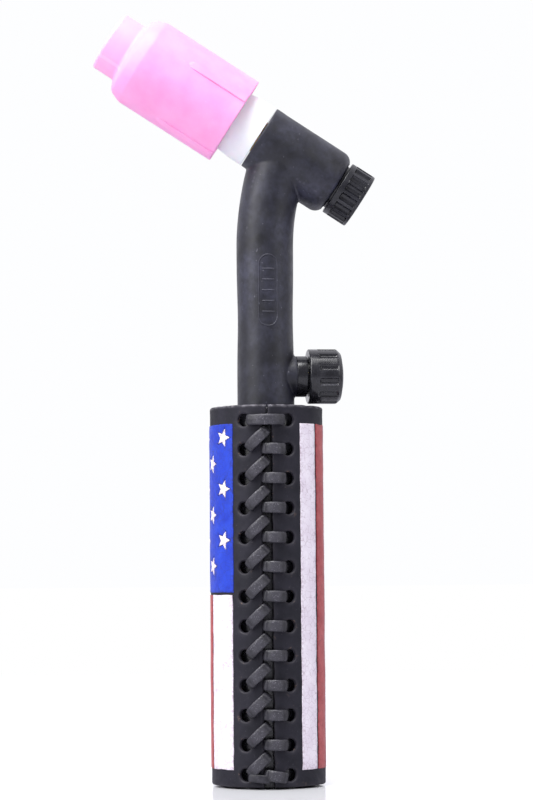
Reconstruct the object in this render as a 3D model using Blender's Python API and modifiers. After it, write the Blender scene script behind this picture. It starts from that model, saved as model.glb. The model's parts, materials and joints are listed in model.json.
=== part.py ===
"""TIG welding torch: an air-cooled head with a gas lens, a gas valve on its neck, and a leather-wrapped handle.

Metres, +Z up along the handle. The torch stands on the handle's rear end. The origin is on that plane, under
the middle of the torch's bounding box, so the handle's axis stands at x = HANDLE_X. The head points up to -X,
the valve knob and the back cap are on the +X side, and the leather's laced seam is on the -Y side.

The head's parts are turned about the head's axis, in a frame whose +Z points out of the gas cup. The valve's
parts are turned about the valve's axis, in a frame whose +Z points out of the neck, along world +X.
"""

import math

import bmesh
import bpy
from mathutils import Matrix, Vector

# Driving dimensions, in metres and degrees.
HANDLE_X = 0.0085
HANDLE_LENGTH = 0.105
HANDLE_RADIUS = 0.016
NECK_RADIUS = 0.0080
HEAD_TILT = 32.5
HEAD_CENTRE_Z = 0.181
VALVE_Z = 0.1139
ELECTRODE_RADIUS = 0.0012

# Gaps between neighbouring solids.
GAP = 0.0003
FIT = 0.0004

# Head, along its axis: positive is towards the cup's mouth.
HEAD_FRONT = 0.0016
HEAD_REAR = -0.0244
HEAD_RADIUS = 0.0094
HEAD_LIP_RADIUS = 0.0095
HEAD_REAR_ROUNDING = 0.0032
SLEEVE_RADIUS = 0.0070
SLEEVE_REAR = -0.0222
SLEEVE_STEP_REAR = -0.0135
SLEEVE_STEP_FRONT = -0.0090

# Gas cup.
CUP_REAR = 0.0099
CUP_LENGTH = 0.0420
CUP_RADIUS = 0.0130
CUP_OUTLET_RADIUS = 0.0087
CUP_OUTLET_LENGTH = 0.0068
CUP_SHOULDER_LENGTH = 0.0040
CUP_MOUTH_RADIUS = 0.00635
CUP_BORE_RADIUS = 0.0098
CUP_RIBS = 4
CUP_RIB_LENGTH = 0.0185
CUP_RIB_WIDTH = 0.0022
CUP_RIB_HEIGHT = 0.0005
CUP_RIB_START = -55.0

# Gas lens: the shank screws into the head sleeve, and the barrel carries the cup.
LENS_SHANK_RADIUS = 0.0047
LENS_SHANK_REAR = -0.0085
LENS_BARREL_REAR = 0.0130
LENS_BARREL_FRONT = 0.0310
LENS_BARREL_RADIUS = 0.0094
LENS_CHAMBER_RADIUS = 0.0084
LENS_CHAMBER_REAR = 0.0170
LENS_TUBE_RADIUS = 0.0042
LENS_TUBE_FRONT = 0.0258
LENS_GAS_HOLES = 6
THREAD_PITCH = 0.00127
RIDGE_PITCH = 2.0 * THREAD_PITCH
SCREEN_THICKNESS = 0.0003
SCREEN_SPACING = 0.0012

# Collet and electrode.
COLLET_RADIUS = 0.0026
COLLET_REAR = -0.0149
COLLET_FRONT = 0.0235
COLLET_SLOT_LENGTH = 0.0150
ELECTRODE_REAR = -0.0262
ELECTRODE_TIP = 0.0509
ELECTRODE_TAPER = 0.0055

# Back cap.
CAP_FRONT = -0.0252
CAP_REAR = -0.0323
CAP_RADIUS = 0.00805
CAP_COLLAR_LENGTH = 0.0011
CAP_SHANK_RADIUS = 0.0050
CAP_SHANK_FRONT = -0.0146
CAP_CAVITY_RADIUS = 0.0032
CAP_CAVITY_REAR = -0.0309
CAP_FLUTES = 16

# Valve, outwards from the neck's axis.
BLOCK_RADIUS = 0.0062
BLOCK_HALF_HEIGHT = 0.0070
PORT_RADIUS = 0.0046
PORT_END = 0.0082
SEAL_BORE_RADIUS = 0.0034
BOSS_RADIUS = 0.0058
BOSS_END = 0.0085
BONNET_END = 0.0115
BONNET_RADIUS = 0.00575
KNOB_END = 0.0210
KNOB_RADIUS = 0.0077
KNOB_COLLAR_LENGTH = 0.0024
KNOB_FLUTES = 12
STEM_RADIUS = 0.0020

# Handle and the parts inside it.
TUBE_RADIUS = 0.0131
TUBE_BORE_RADIUS = 0.0112
CABLE_OUTLET_RADIUS = 0.0085
TUBE_END_WALL = 0.0030
PLUG_RADIUS = 0.0109
PLUG_BOTTOM = 0.0700
PLUG_TOP = 0.1038
COPPER_TUBE_RADIUS = 0.0042
COPPER_TUBE_BORE = 0.0032
NECK_BEND_START = 0.150
NECK_BEND_RADIUS = 0.074
TAIL_STUD_END = 0.0300
TAIL_HEX_BOTTOM = 0.0460
TAIL_HEX_TOP = 0.0540
TAIL_HEX_FLATS = 0.0140

# Leather wrap and its lacing. Distances round the leather are arc lengths on its outer face.
LEATHER_THICKNESS = 0.0026
SKIVED_THICKNESS = 0.0012
SKIVED_HALF_ARC = 0.0086
SEAM_HALF_GAP = 0.0015
LACING_TURN = -6.5  # degrees about the handle's axis, from facing -Y towards the cup's side
HOLE_ROWS = 13
TOP_HOLE_Z = 0.1008
HOLE_PITCH = 0.00808
HOLE_ARC = 0.0064
HOLE_HALF_WIDTH = 0.0016
HOLE_HALF_HEIGHT = 0.0018
HOLE_ROUNDING = 0.0008
LACE_WIDTH = 0.0024
LACE_THICKNESS = 0.0009
LACE_RISE = 0.0050
LACE_BEND = 0.00055
LACE_TURN_START = 0.0012
LACE_TURN_WIDTH = 0.0026

FINE_STEPS = 32
STEPS = 24
SHARP_ANGLE = 35.0


def clear_scene():
    for obj in list(bpy.data.objects):
        bpy.data.objects.remove(obj)


def collection(name):
    made = bpy.data.collections.new(name)
    bpy.context.scene.collection.children.link(made)
    return made


def material(name, color, roughness, metallic=0.0):
    made = bpy.data.materials.new(name)
    made.use_nodes = True
    shader = made.node_tree.nodes["Principled BSDF"]
    shader.inputs["Base Color"].default_value = (*color, 1.0)
    shader.inputs["Roughness"].default_value = roughness
    shader.inputs["Metallic"].default_value = metallic
    return made


clear_scene()
TORCH = collection("tig_torch")
CUTTERS = collection("cutters")
RUBBER = material("black_rubber", (0.02, 0.02, 0.025), 0.65)
PHENOLIC = material("black_phenolic", (0.015, 0.015, 0.017), 0.35)
ALUMINA = material("pink_alumina", (0.95, 0.45, 0.70), 0.45)
PTFE = material("white_ptfe", (0.92, 0.93, 0.95), 0.35)
BRASS = material("brass", (0.80, 0.60, 0.28), 0.30, 1.0)
COPPER = material("copper", (0.80, 0.43, 0.30), 0.30, 1.0)
STEEL = material("stainless_mesh", (0.60, 0.60, 0.60), 0.40, 1.0)
TUNGSTEN = material("tungsten", (0.45, 0.45, 0.47), 0.35, 1.0)
SEAL = material("seal_rubber", (0.02, 0.02, 0.02), 0.60)
LEATHER = material("black_leather", (0.03, 0.03, 0.035), 0.60)
LACE_LEATHER = material("lace_leather", (0.04, 0.04, 0.045), 0.50)


def frame(name, location, tilt=0.0, turn=0.0):
    """An empty whose +Z is world +Z turned about Y by tilt degrees, and then about Z by turn degrees."""
    empty = bpy.data.objects.new(name, None)
    TORCH.objects.link(empty)
    empty.location = location
    empty.rotation_euler = (0.0, math.radians(tilt), math.radians(turn))
    bpy.context.view_layer.update()
    return empty


HANDLE_FRAME = frame("handle_axis", (HANDLE_X, 0.0, 0.0))
HEAD_FRAME = frame("head_axis", (HANDLE_X, 0.0, HEAD_CENTRE_Z), HEAD_TILT - 90.0)
VALVE_FRAME = frame("valve_axis", (HANDLE_X, 0.0, VALVE_Z), 90.0)
LACING_FRAME = frame("lacing_axis", (HANDLE_X, 0.0, 0.0), turn=LACING_TURN)


def place(name, mesh, home, finish):
    """An object in its frame. With no finish it is a hidden helper for Booleans."""
    obj = bpy.data.objects.new(name, mesh)
    obj.parent = home
    if finish is None:
        CUTTERS.objects.link(obj)
        obj.hide_render = True
        obj.display_type = "WIRE"
    else:
        TORCH.objects.link(obj)
        mesh.materials.append(finish)
    return obj


def turned(name, profile, home, finish=None, steps=STEPS):
    """A profile of (radius, height) points turned about the frame's Z. It runs down the outer side.

    A profile whose ends are on the axis is solid. Any other is a loop, and makes a ring.
    """
    mesh = bpy.data.meshes.new(name)
    points = [(radius, 0.0, height) for radius, height in profile]
    edges = [(i, i + 1) for i in range(len(points) - 1)]
    if profile[0][0] > 0.0:
        edges.append((len(points) - 1, 0))
    mesh.from_pydata(points, edges, [])
    obj = place(name, mesh, home, finish)
    screw = obj.modifiers.new("turn", "SCREW")
    screw.axis = "Z"
    screw.steps = steps
    screw.render_steps = steps
    screw.use_merge_vertices = True
    screw.merge_threshold = 0.00001
    screw.use_smooth_shade = False
    return obj


def cylinder(name, radius, low, high, home, finish=None, steps=STEPS):
    return turned(name, [(0.0, high), (radius, high), (radius, low), (0.0, low)], home, finish, steps)


def tube(name, radius, bore, low, high, home, finish=None, steps=STEPS):
    return turned(name, [(radius, high), (radius, low), (bore, low), (bore, high)], home, finish, steps)


def arc(radius, height, size, start, end, count):
    """Points of an arc centred on (radius, height), with angles in degrees from the outward direction."""
    angles = [math.radians(start + (end - start) * i / (count - 1)) for i in range(count)]
    return [(radius + size * math.cos(a), height + size * math.sin(a)) for a in angles]


def ridges(crest, root, high, low):
    """Plain rings that stand in for a thread, one to every second turn: a zigzag from high down to low."""
    count = int((high - low) / RIDGE_PITCH)
    points = []
    for i in range(count):
        top = high - i * RIDGE_PITCH
        points += [(root, top), (crest, top - 0.35 * RIDGE_PITCH), (crest, top - 0.65 * RIDGE_PITCH)]
    points.append((root, high - count * RIDGE_PITCH))
    return points


def rod(name, points, radius, home, finish=None, sides=STEPS):
    """A round bar along points, as one welded mesh."""
    curve = bpy.data.curves.new(name, "CURVE")
    curve.dimensions = "3D"
    curve.bevel_depth = radius
    curve.bevel_resolution = (sides - 4) // 2
    curve.use_fill_caps = True
    spline = curve.splines.new("POLY")
    spline.points.add(len(points) - 1)
    for spot, point in zip(spline.points, points):
        spot.co = (*point, 1.0)
    guide = bpy.data.objects.new(name + "_guide", curve)
    CUTTERS.objects.link(guide)
    bpy.context.view_layer.update()
    graph = bpy.context.evaluated_depsgraph_get()
    mesh = bpy.data.meshes.new_from_object(guide.evaluated_get(graph))
    bpy.data.objects.remove(guide)
    work = bmesh.new()
    work.from_mesh(mesh)
    bmesh.ops.remove_doubles(work, verts=work.verts, dist=0.00001)
    bmesh.ops.recalc_face_normals(work, faces=work.faces)
    work.to_mesh(mesh)
    work.free()
    return place(name, mesh, home, finish)


def combine(obj, other, operation):
    modifier = obj.modifiers.new(operation.lower(), "BOOLEAN")
    modifier.operation = operation
    modifier.object = other
    modifier.solver = "EXACT"


def cut(obj, *cutters):
    for cutter in cutters:
        combine(obj, cutter, "DIFFERENCE")


def join(obj, *others):
    for other in others:
        combine(obj, other, "UNION")


def spun_copies(name, make_one, count, start, home, finish=None):
    """One mesh of count closed shapes, set evenly round the frame's Z. make_one adds a shape at angle 0."""
    work = bmesh.new()
    for i in range(count):
        turn = Matrix.Rotation(math.radians(start) + 2.0 * math.pi * i / count, 4, "Z")
        make_one(work, turn)
    mesh = bpy.data.meshes.new(name)
    work.to_mesh(mesh)
    work.free()
    return place(name, mesh, home, finish)


def add_box(work, matrix, size):
    bmesh.ops.create_cube(work, size=1.0, matrix=matrix @ Matrix.Diagonal((*size, 1.0)))


def add_bar(work, matrix, radius, length, sides=12):
    """A cylinder along the matrix's Z, centred on its origin."""
    bmesh.ops.create_cone(
        work, cap_ends=True, segments=sides, radius1=radius, radius2=radius, depth=length, matrix=matrix
    )


# ---------------------------------------------------------------- neck and handle insides


def neck_line(low, end_short=0.0):
    """The neck's centre line in the handle's frame: straight up, then an arc to +X that meets the head's axis."""
    slope = math.tan(math.radians(HEAD_TILT))
    points = [Vector((0.0, 0.0, low))]
    step = math.radians(4.0)
    angle = 0.0
    while True:
        x = NECK_BEND_RADIUS * (1.0 - math.cos(angle))
        z = NECK_BEND_START + NECK_BEND_RADIUS * math.sin(angle)
        if z > HEAD_CENTRE_Z - slope * x - end_short:
            return points
        points.append(Vector((x, 0.0, z)))
        angle += step


def torch_jacket():
    """The moulded rubber body: head, neck, valve boss, and the plug that the handle tube slides onto."""
    rear_corner = arc(
        HEAD_RADIUS - HEAD_REAR_ROUNDING, HEAD_REAR + HEAD_REAR_ROUNDING, HEAD_REAR_ROUNDING, 0.0, -90.0, 5
    )
    lip = [(0.0, HEAD_FRONT), (HEAD_LIP_RADIUS, HEAD_FRONT), (HEAD_LIP_RADIUS, HEAD_FRONT - 0.0012)]
    waist = [(HEAD_RADIUS, HEAD_FRONT - 0.0040)]
    jacket = turned(
        "torch_jacket", lip + waist + rear_corner + [(0.0, HEAD_REAR)], HEAD_FRAME, RUBBER, FINE_STEPS + 4
    )
    neck = rod("neck_blank", neck_line(PLUG_TOP - 0.002), NECK_RADIUS, HANDLE_FRAME, sides=FINE_STEPS)
    plug = cylinder("plug_blank", PLUG_RADIUS, PLUG_BOTTOM, PLUG_TOP, HANDLE_FRAME, steps=FINE_STEPS - 2)
    boss = cylinder("boss_blank", BOSS_RADIUS, 0.0, BOSS_END, VALVE_FRAME)
    join(jacket, neck, plug, boss)

    # Unlike side counts keep the cutters' edges off the blanks' edges.
    sleeve_room = cylinder(
        "sleeve_room", SLEEVE_RADIUS + GAP, HEAD_REAR - 0.01, HEAD_FRONT + 0.01, HEAD_FRAME, steps=STEPS + 2
    )
    copper_room = rod(
        "copper_room", neck_line(PLUG_BOTTOM - 0.01), COPPER_TUBE_RADIUS + GAP, HANDLE_FRAME, sides=STEPS - 4
    )
    block_room = cylinder(
        "block_room",
        BLOCK_RADIUS + GAP,
        VALVE_Z - BLOCK_HALF_HEIGHT - GAP,
        VALVE_Z + BLOCK_HALF_HEIGHT + GAP,
        HANDLE_FRAME,
        steps=STEPS + 4,
    )
    port_room = cylinder(
        "port_room", PORT_RADIUS + GAP, 0.0, BOSS_END + 0.005, VALVE_FRAME, steps=STEPS - 2
    )
    cut(jacket, sleeve_room, copper_room, block_room, port_room)


def head_sleeve():
    """The threaded brass tube in the head. The copper tube feeds it gas and current from below."""
    front_bore = LENS_SHANK_RADIUS + FIT
    rear_bore = CAP_SHANK_RADIUS + FIT
    middle_bore = COLLET_RADIUS + 0.0008
    front = HEAD_FRONT - GAP
    sleeve = turned(
        "head_sleeve",
        [
            (SLEEVE_RADIUS, front),
            (SLEEVE_RADIUS, SLEEVE_REAR),
            (rear_bore, SLEEVE_REAR),
            (rear_bore, SLEEVE_STEP_REAR),
            (middle_bore, SLEEVE_STEP_REAR),
            (middle_bore, SLEEVE_STEP_FRONT),
            (front_bore, SLEEVE_STEP_FRONT),
            (front_bore, front),
        ],
        HEAD_FRAME,
        BRASS,
    )
    cut(sleeve, rod("gas_port", neck_line(0.160), COPPER_TUBE_BORE, HANDLE_FRAME))


def copper_tubes():
    """The neck tube rises from the valve block to the head sleeve. The tail tube runs down to the handle."""
    low = VALVE_Z + BLOCK_HALF_HEIGHT + GAP
    neck_tube = rod("neck_tube", neck_line(low), COPPER_TUBE_RADIUS, HANDLE_FRAME, COPPER, 20)
    bore = rod("neck_tube_bore", neck_line(low - 0.005), COPPER_TUBE_BORE, HANDLE_FRAME, sides=20)
    sleeve_side = cylinder(
        "sleeve_side", SLEEVE_RADIUS + GAP, HEAD_REAR, HEAD_FRONT, HEAD_FRAME, steps=STEPS
    )
    cut(neck_tube, bore, sleeve_side)
    tube(
        "tail_tube",
        COPPER_TUBE_RADIUS,
        COPPER_TUBE_BORE,
        TAIL_HEX_TOP - 0.004 + GAP,
        VALVE_Z - BLOCK_HALF_HEIGHT - GAP,
        HANDLE_FRAME,
        COPPER,
        24,
    )


def tail_fitting():
    """The brass connection that the power cable screws onto: a hexagon and a hollow threaded stud."""
    socket = COPPER_TUBE_RADIUS + GAP
    stud_radius = 0.0047
    gas_bore = 0.0020
    socket_bottom = TAIL_HEX_TOP - 0.004
    hexagon_radius = TAIL_HEX_FLATS / 2.0 / math.cos(math.radians(30.0))
    fitting = cylinder(
        "tail_fitting", hexagon_radius, TAIL_HEX_BOTTOM, TAIL_HEX_TOP, HANDLE_FRAME, BRASS, steps=6
    )
    overlap = 0.001
    stud = turned(
        "stud_blank",
        [(0.0, TAIL_HEX_BOTTOM + overlap), (0.0042, TAIL_HEX_BOTTOM + overlap)]
        + ridges(stud_radius, 0.0042, TAIL_HEX_BOTTOM - 0.0010, TAIL_STUD_END + 0.0010)
        + [(0.0042, TAIL_STUD_END), (0.0, TAIL_STUD_END)],
        HANDLE_FRAME,
        steps=24,
    )
    join(fitting, stud)
    bore = turned(
        "fitting_bore",
        [
            (0.0, TAIL_HEX_TOP + 0.005),
            (socket, TAIL_HEX_TOP + 0.005),
            (socket, socket_bottom),
            (gas_bore, socket_bottom),
            (gas_bore, TAIL_STUD_END - 0.005),
            (0.0, TAIL_STUD_END - 0.005),
        ],
        HANDLE_FRAME,
        steps=24,
    )
    cut(fitting, bore)


# ---------------------------------------------------------------- front end


def cup_profile():
    """The cup's outer and inner outline, from the rim of the mouth back to the open rear end."""
    mouth = CUP_REAR + CUP_LENGTH
    neck_back = mouth - CUP_OUTLET_LENGTH
    shoulder_back = neck_back - CUP_SHOULDER_LENGTH
    rim = arc(CUP_OUTLET_RADIUS - 0.0008, mouth - 0.0008, 0.0008, 90.0, 0.0, 4)
    corner = 0.0022
    shoulder = arc(CUP_RADIUS - corner, shoulder_back, corner, 55.0, 0.0, 5)
    fillet = [(CUP_OUTLET_RADIUS, neck_back + 0.0008), (CUP_OUTLET_RADIUS + 0.0003, neck_back)]
    outside = rim + fillet + shoulder
    rear = [(CUP_RADIUS, CUP_REAR + 0.0004), (CUP_RADIUS - 0.0004, CUP_REAR), (0.0104, CUP_REAR)]
    inside = [
        (0.0104, CUP_REAR + 0.0028),
        (CUP_BORE_RADIUS, CUP_REAR + 0.0034),
        (CUP_BORE_RADIUS, shoulder_back - 0.0020),
        (CUP_MOUTH_RADIUS, neck_back),
        (CUP_MOUTH_RADIUS, mouth),
    ]
    return outside + rear + inside


def gas_cup():
    cup = turned("gas_cup", cup_profile(), HEAD_FRAME, ALUMINA, FINE_STEPS)
    sink = 0.0008

    def add_rib(work, turn):
        centre = CUP_RADIUS + (CUP_RIB_HEIGHT - sink) / 2.0
        middle = CUP_REAR + 0.0002 + CUP_RIB_LENGTH / 2.0
        spot = turn @ Matrix.Translation((centre, 0.0, middle))
        add_box(work, spot, (CUP_RIB_HEIGHT + sink, CUP_RIB_WIDTH, CUP_RIB_LENGTH))

    # Angle 0 is the cup's top, and -90 faces -Y, so the two ribs on that side stand above and below its middle.
    join(cup, spun_copies("cup_ribs", add_rib, CUP_RIBS, CUP_RIB_START, HEAD_FRAME))


def cup_insulator():
    """The white PTFE ring between the head and the cup. Its rear is flush with the head, its front in the cup."""
    rear = HEAD_FRONT + GAP
    front = LENS_BARREL_REAR - GAP
    dome = arc(0.0, rear + 0.0010, HEAD_LIP_RADIUS, 47.0, 0.0, 6)
    dome = [(0.0070 + radius * 0.263, rear + 0.0010 + (z - rear - 0.0010) * 1.22) for radius, z in dome]
    bore = LENS_SHANK_RADIUS + FIT
    turned(
        "cup_insulator",
        [(0.0080, front)] + dome + [(HEAD_LIP_RADIUS, rear), (bore, rear), (bore, front)],
        HEAD_FRAME,
        PTFE,
        FINE_STEPS,
    )


def gas_lens():
    """The gas lens body, its stack of screens, and the ring that holds them in."""
    collet_bore = COLLET_RADIUS + GAP
    nose_bore = ELECTRODE_RADIUS + 0.0004
    nose_start = 0.0226
    nose_end = 0.0246
    body = turned(
        "gas_lens_body",
        [(LENS_BARREL_RADIUS, LENS_BARREL_FRONT)]
        + [(LENS_BARREL_RADIUS, 0.0282)]
        + ridges(LENS_BARREL_RADIUS, LENS_BARREL_RADIUS - 0.0006, 0.0282, 0.0165)
        + [
            (LENS_BARREL_RADIUS, LENS_BARREL_REAR + 0.0020),
            (LENS_BARREL_RADIUS, LENS_BARREL_REAR),
            (LENS_SHANK_RADIUS, LENS_BARREL_REAR),
            (LENS_SHANK_RADIUS, 0.0005),
        ]
        + ridges(LENS_SHANK_RADIUS, LENS_SHANK_RADIUS - 0.0005, 0.0, LENS_SHANK_REAR + 0.0005)
        + [
            (LENS_SHANK_RADIUS - 0.0005, LENS_SHANK_REAR),
            (collet_bore, LENS_SHANK_REAR),
            (collet_bore, nose_start),
            (nose_bore, nose_end),
            (nose_bore, LENS_TUBE_FRONT),
            (LENS_TUBE_RADIUS, LENS_TUBE_FRONT),
            (LENS_TUBE_RADIUS, LENS_CHAMBER_REAR),
            (LENS_CHAMBER_RADIUS, LENS_CHAMBER_REAR),
            (LENS_CHAMBER_RADIUS, LENS_BARREL_FRONT),
        ],
        HEAD_FRAME,
        BRASS,
    )

    def add_gas_hole(work, turn):
        reach = LENS_TUBE_RADIUS + 0.0010
        sideways = Matrix.Rotation(math.radians(90.0), 4, "Y")
        spot = turn @ Matrix.Translation((reach / 2.0 + 0.0008, 0.0, LENS_CHAMBER_REAR + 0.0020)) @ sideways
        add_bar(work, spot, 0.0009, reach)

    cut(body, spun_copies("gas_holes", add_gas_hole, LENS_GAS_HOLES, 0.0, HEAD_FRAME))

    first = LENS_TUBE_FRONT + GAP
    room = LENS_CHAMBER_RADIUS - GAP
    for i, place_name in enumerate(("rear", "middle", "front")):
        low = first + i * SCREEN_SPACING
        high = low + SCREEN_THICKNESS
        tube(f"gas_lens_screen_{place_name}", room, nose_bore, low, high, HEAD_FRAME, STEEL)
    low = first + 2 * SCREEN_SPACING + SCREEN_THICKNESS + GAP
    tube("screen_retaining_ring", room, room - 0.0010, low, low + 0.0009, HEAD_FRAME, BRASS)


def collet_and_electrode():
    """The slit copper collet grips the tungsten electrode when the back cap pushes it into the lens's nose."""
    bore = ELECTRODE_RADIUS + GAP
    nose = 0.0018
    collet = turned(
        "collet",
        [
            (COLLET_RADIUS - 0.0008, COLLET_FRONT - GAP),
            (COLLET_RADIUS, COLLET_FRONT - nose),
            (COLLET_RADIUS, COLLET_REAR),
            (bore, COLLET_REAR),
            (bore, COLLET_FRONT - GAP),
        ],
        HEAD_FRAME,
        COPPER,
        24,
    )
    slot_width = 0.0005

    def add_slot(work, turn):
        middle = COLLET_FRONT - COLLET_SLOT_LENGTH / 2.0 + 0.0010
        spot = turn @ Matrix.Translation((COLLET_RADIUS, 0.0, middle))
        add_box(work, spot, (2.0 * COLLET_RADIUS - 0.0012, slot_width, COLLET_SLOT_LENGTH + 0.0020))

    cut(collet, spun_copies("collet_slots", add_slot, 4, 45.0, HEAD_FRAME))
    flat = 0.0002
    turned(
        "electrode",
        [
            (0.0, ELECTRODE_TIP),
            (flat, ELECTRODE_TIP),
            (ELECTRODE_RADIUS, ELECTRODE_TIP - ELECTRODE_TAPER),
            (ELECTRODE_RADIUS, ELECTRODE_REAR + 0.0002),
            (ELECTRODE_RADIUS - 0.0002, ELECTRODE_REAR),
            (0.0, ELECTRODE_REAR),
        ],
        HEAD_FRAME,
        TUNGSTEN,
        20,
    )


# ---------------------------------------------------------------- back cap


def flutes(name, count, radius, depth, low, high, home, width=0.0012):
    """Cutters for grooves along the outside of a knob of this radius."""

    def add_flute(work, turn):
        spot = turn @ Matrix.Translation((radius + width - depth, 0.0, (low + high) / 2.0))
        add_bar(work, spot, width, high - low, 10)

    return spun_copies(name, add_flute, count, 180.0 / count, home)


def back_cap():
    """The short phenolic cap, its brass insert that presses on the collet, and its sealing ring."""
    shoulder = CAP_FRONT + 0.0006
    collar_radius = CAP_RADIUS - 0.0004
    bore = CAP_CAVITY_RADIUS
    cap = turned(
        "back_cap",
        [(CAP_SHANK_RADIUS - 0.0005, CAP_SHANK_FRONT)]
        + ridges(CAP_SHANK_RADIUS, CAP_SHANK_RADIUS - 0.0005, CAP_SHANK_FRONT - 0.0004, -0.0222)
        + [
            (CAP_SHANK_RADIUS - 0.0005, shoulder),
            (0.0066, shoulder),
            (0.0066, CAP_FRONT),
            (collar_radius, CAP_FRONT),
            (collar_radius, CAP_FRONT - CAP_COLLAR_LENGTH),
            (CAP_RADIUS, CAP_FRONT - CAP_COLLAR_LENGTH - 0.0002),
            (CAP_RADIUS, CAP_REAR + 0.0003),
            (CAP_RADIUS - 0.0003, CAP_REAR),
            (0.0, CAP_REAR),
            (0.0, CAP_CAVITY_REAR),
            (bore, CAP_CAVITY_REAR),
            (bore, CAP_SHANK_FRONT),
        ],
        HEAD_FRAME,
        PHENOLIC,
        24,
    )
    low = CAP_REAR - 0.0010
    high = CAP_FRONT - CAP_COLLAR_LENGTH - 0.0003
    cut(cap, flutes("cap_flutes", CAP_FLUTES, CAP_RADIUS, 0.0006, low, high, HEAD_FRAME, 0.0008))
    tube(
        "back_cap_insert",
        bore - GAP,
        ELECTRODE_RADIUS + 0.0005,
        CAP_CAVITY_REAR + GAP,
        COLLET_REAR - GAP,
        HEAD_FRAME,
        BRASS,
        24,
    )
    o_ring("back_cap_o_ring", 0.0060, 0.0007, -0.0235, HEAD_FRAME)


def o_ring(name, radius, thickness, height, home):
    """A ring of round section, thickness being the section's radius."""
    section = arc(radius, height, thickness, 90.0, -210.0, 6)
    turned(name, section, home, SEAL, 20)


# ---------------------------------------------------------------- valve


def valve_block():
    """The brass block in the neck. Gas rises to the needle's seat and leaves by the offset bore above it."""
    block = cylinder(
        "valve_block",
        BLOCK_RADIUS,
        VALVE_Z - BLOCK_HALF_HEIGHT,
        VALVE_Z + BLOCK_HALF_HEIGHT,
        HANDLE_FRAME,
        BRASS,
        32,
    )
    join(block, cylinder("port_blank", PORT_RADIUS, 0.0020, PORT_END, VALVE_FRAME))
    beyond = PORT_END + 0.005
    stem_bore = turned(
        "stem_bore",
        [
            (0.0, beyond),
            (SEAL_BORE_RADIUS, beyond),
            (SEAL_BORE_RADIUS, 0.0050),
            (STEM_RADIUS + 0.0007, 0.0050),
            (STEM_RADIUS + 0.0007, 0.0020),
            (0.0009, -0.0002),
            (0.0009, -0.0022),
            (0.0, -0.0022),
        ],
        VALVE_FRAME,
    )
    inlet = rod(
        "gas_inlet",
        [Vector((-0.0017, 0.0, VALVE_Z - 0.010)), Vector((-0.0017, 0.0, VALVE_Z + 0.0006))],
        0.0013,
        HANDLE_FRAME,
        sides=16,
    )
    outlet = rod(
        "gas_outlet",
        [Vector((0.0018, 0.0, VALVE_Z + 0.0006)), Vector((0.0018, 0.0, VALVE_Z + 0.010))],
        0.0013,
        HANDLE_FRAME,
        sides=16,
    )
    cut(block, stem_bore, inlet, outlet)


def valve_trim():
    """The bonnet, the needle stem with its seal, and the fluted knob with its screw and cap."""
    low = BOSS_END + GAP
    tube("valve_bonnet", BONNET_RADIUS, SEAL_BORE_RADIUS, low, BONNET_END, VALVE_FRAME, PHENOLIC, 32)

    thread = STEM_RADIUS + 0.0004
    collar = SEAL_BORE_RADIUS - 0.0005
    groove = 0.0018
    groove_low = 0.0057
    groove_high = 0.0075
    stem_end = 0.0168
    screw_bore = 0.0013
    turned(
        "valve_stem",
        [
            (0.0, 0.0130),
            (screw_bore, 0.0130),
            (screw_bore, stem_end),
            (STEM_RADIUS, stem_end),
            (STEM_RADIUS, 0.0082),
            (collar, 0.0082),
            (collar, groove_high),
            (groove, groove_high),
            (groove, groove_low),
            (collar, groove_low),
            (collar, 0.0053),
            (thread, 0.0053),
            (thread, 0.0024),
            (STEM_RADIUS, 0.0016),
            (0.0004, -0.0004),
            (0.0, -0.0004),
        ],
        VALVE_FRAME,
        BRASS,
        24,
    )
    o_ring("valve_stem_o_ring", 0.00265, 0.0005, (groove_low + groove_high) / 2.0, VALVE_FRAME)

    knob_start = BONNET_END + GAP
    collar_end = knob_start + KNOB_COLLAR_LENGTH
    recess = 0.0060
    screw_room = 0.0034
    knob = turned(
        "valve_knob",
        [
            (recess, KNOB_END),
            (KNOB_RADIUS - 0.0010, KNOB_END),
            (KNOB_RADIUS, KNOB_END - 0.0012),
            (KNOB_RADIUS, knob_start + 0.0002),
            (KNOB_RADIUS - 0.0002, knob_start),
            (STEM_RADIUS + GAP, knob_start),
            (STEM_RADIUS + GAP, stem_end + GAP),
            (screw_room, stem_end + GAP),
            (screw_room, KNOB_END - 0.0012),
            (recess, KNOB_END - 0.0012),
        ],
        VALVE_FRAME,
        PHENOLIC,
        24,
    )
    flute_end = KNOB_END + 0.001
    cut(
        knob,
        flutes("knob_flutes", KNOB_FLUTES, KNOB_RADIUS, 0.0006, collar_end, flute_end, VALVE_FRAME, 0.0009),
    )
    turned(
        "knob_screw",
        [
            (0.0, stem_end + 0.0022),
            (0.0028, stem_end + 0.0022),
            (0.0028, stem_end + 2.0 * GAP),
            (screw_bore - GAP, stem_end + 2.0 * GAP),
            (screw_bore - GAP, 0.0135),
            (0.0, 0.0135),
        ],
        VALVE_FRAME,
        BRASS,
        20,
    )
    seat = KNOB_END - 0.0012 + GAP
    turned(
        "valve_knob_cap",
        [(0.0, KNOB_END + 0.0008), (0.0030, KNOB_END + 0.0007), (0.0052, KNOB_END + 0.0003)]
        + [(recess - GAP, KNOB_END - 0.0002), (recess - GAP, seat), (0.0, seat)],
        VALVE_FRAME,
        PHENOLIC,
        32,
    )


# ---------------------------------------------------------------- handle


def handle_tube():
    """The hard tube under the leather. The cable leaves through the opening in its end wall."""
    top = HANDLE_LENGTH - 0.0006
    turned(
        "handle_tube",
        [
            (TUBE_RADIUS, top),
            (TUBE_RADIUS, 0.0),
            (CABLE_OUTLET_RADIUS, 0.0),
            (CABLE_OUTLET_RADIUS, TUBE_END_WALL),
            (TUBE_BORE_RADIUS, TUBE_END_WALL),
            (TUBE_BORE_RADIUS, top),
        ],
        HANDLE_FRAME,
        PHENOLIC,
        FINE_STEPS,
    )


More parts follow.
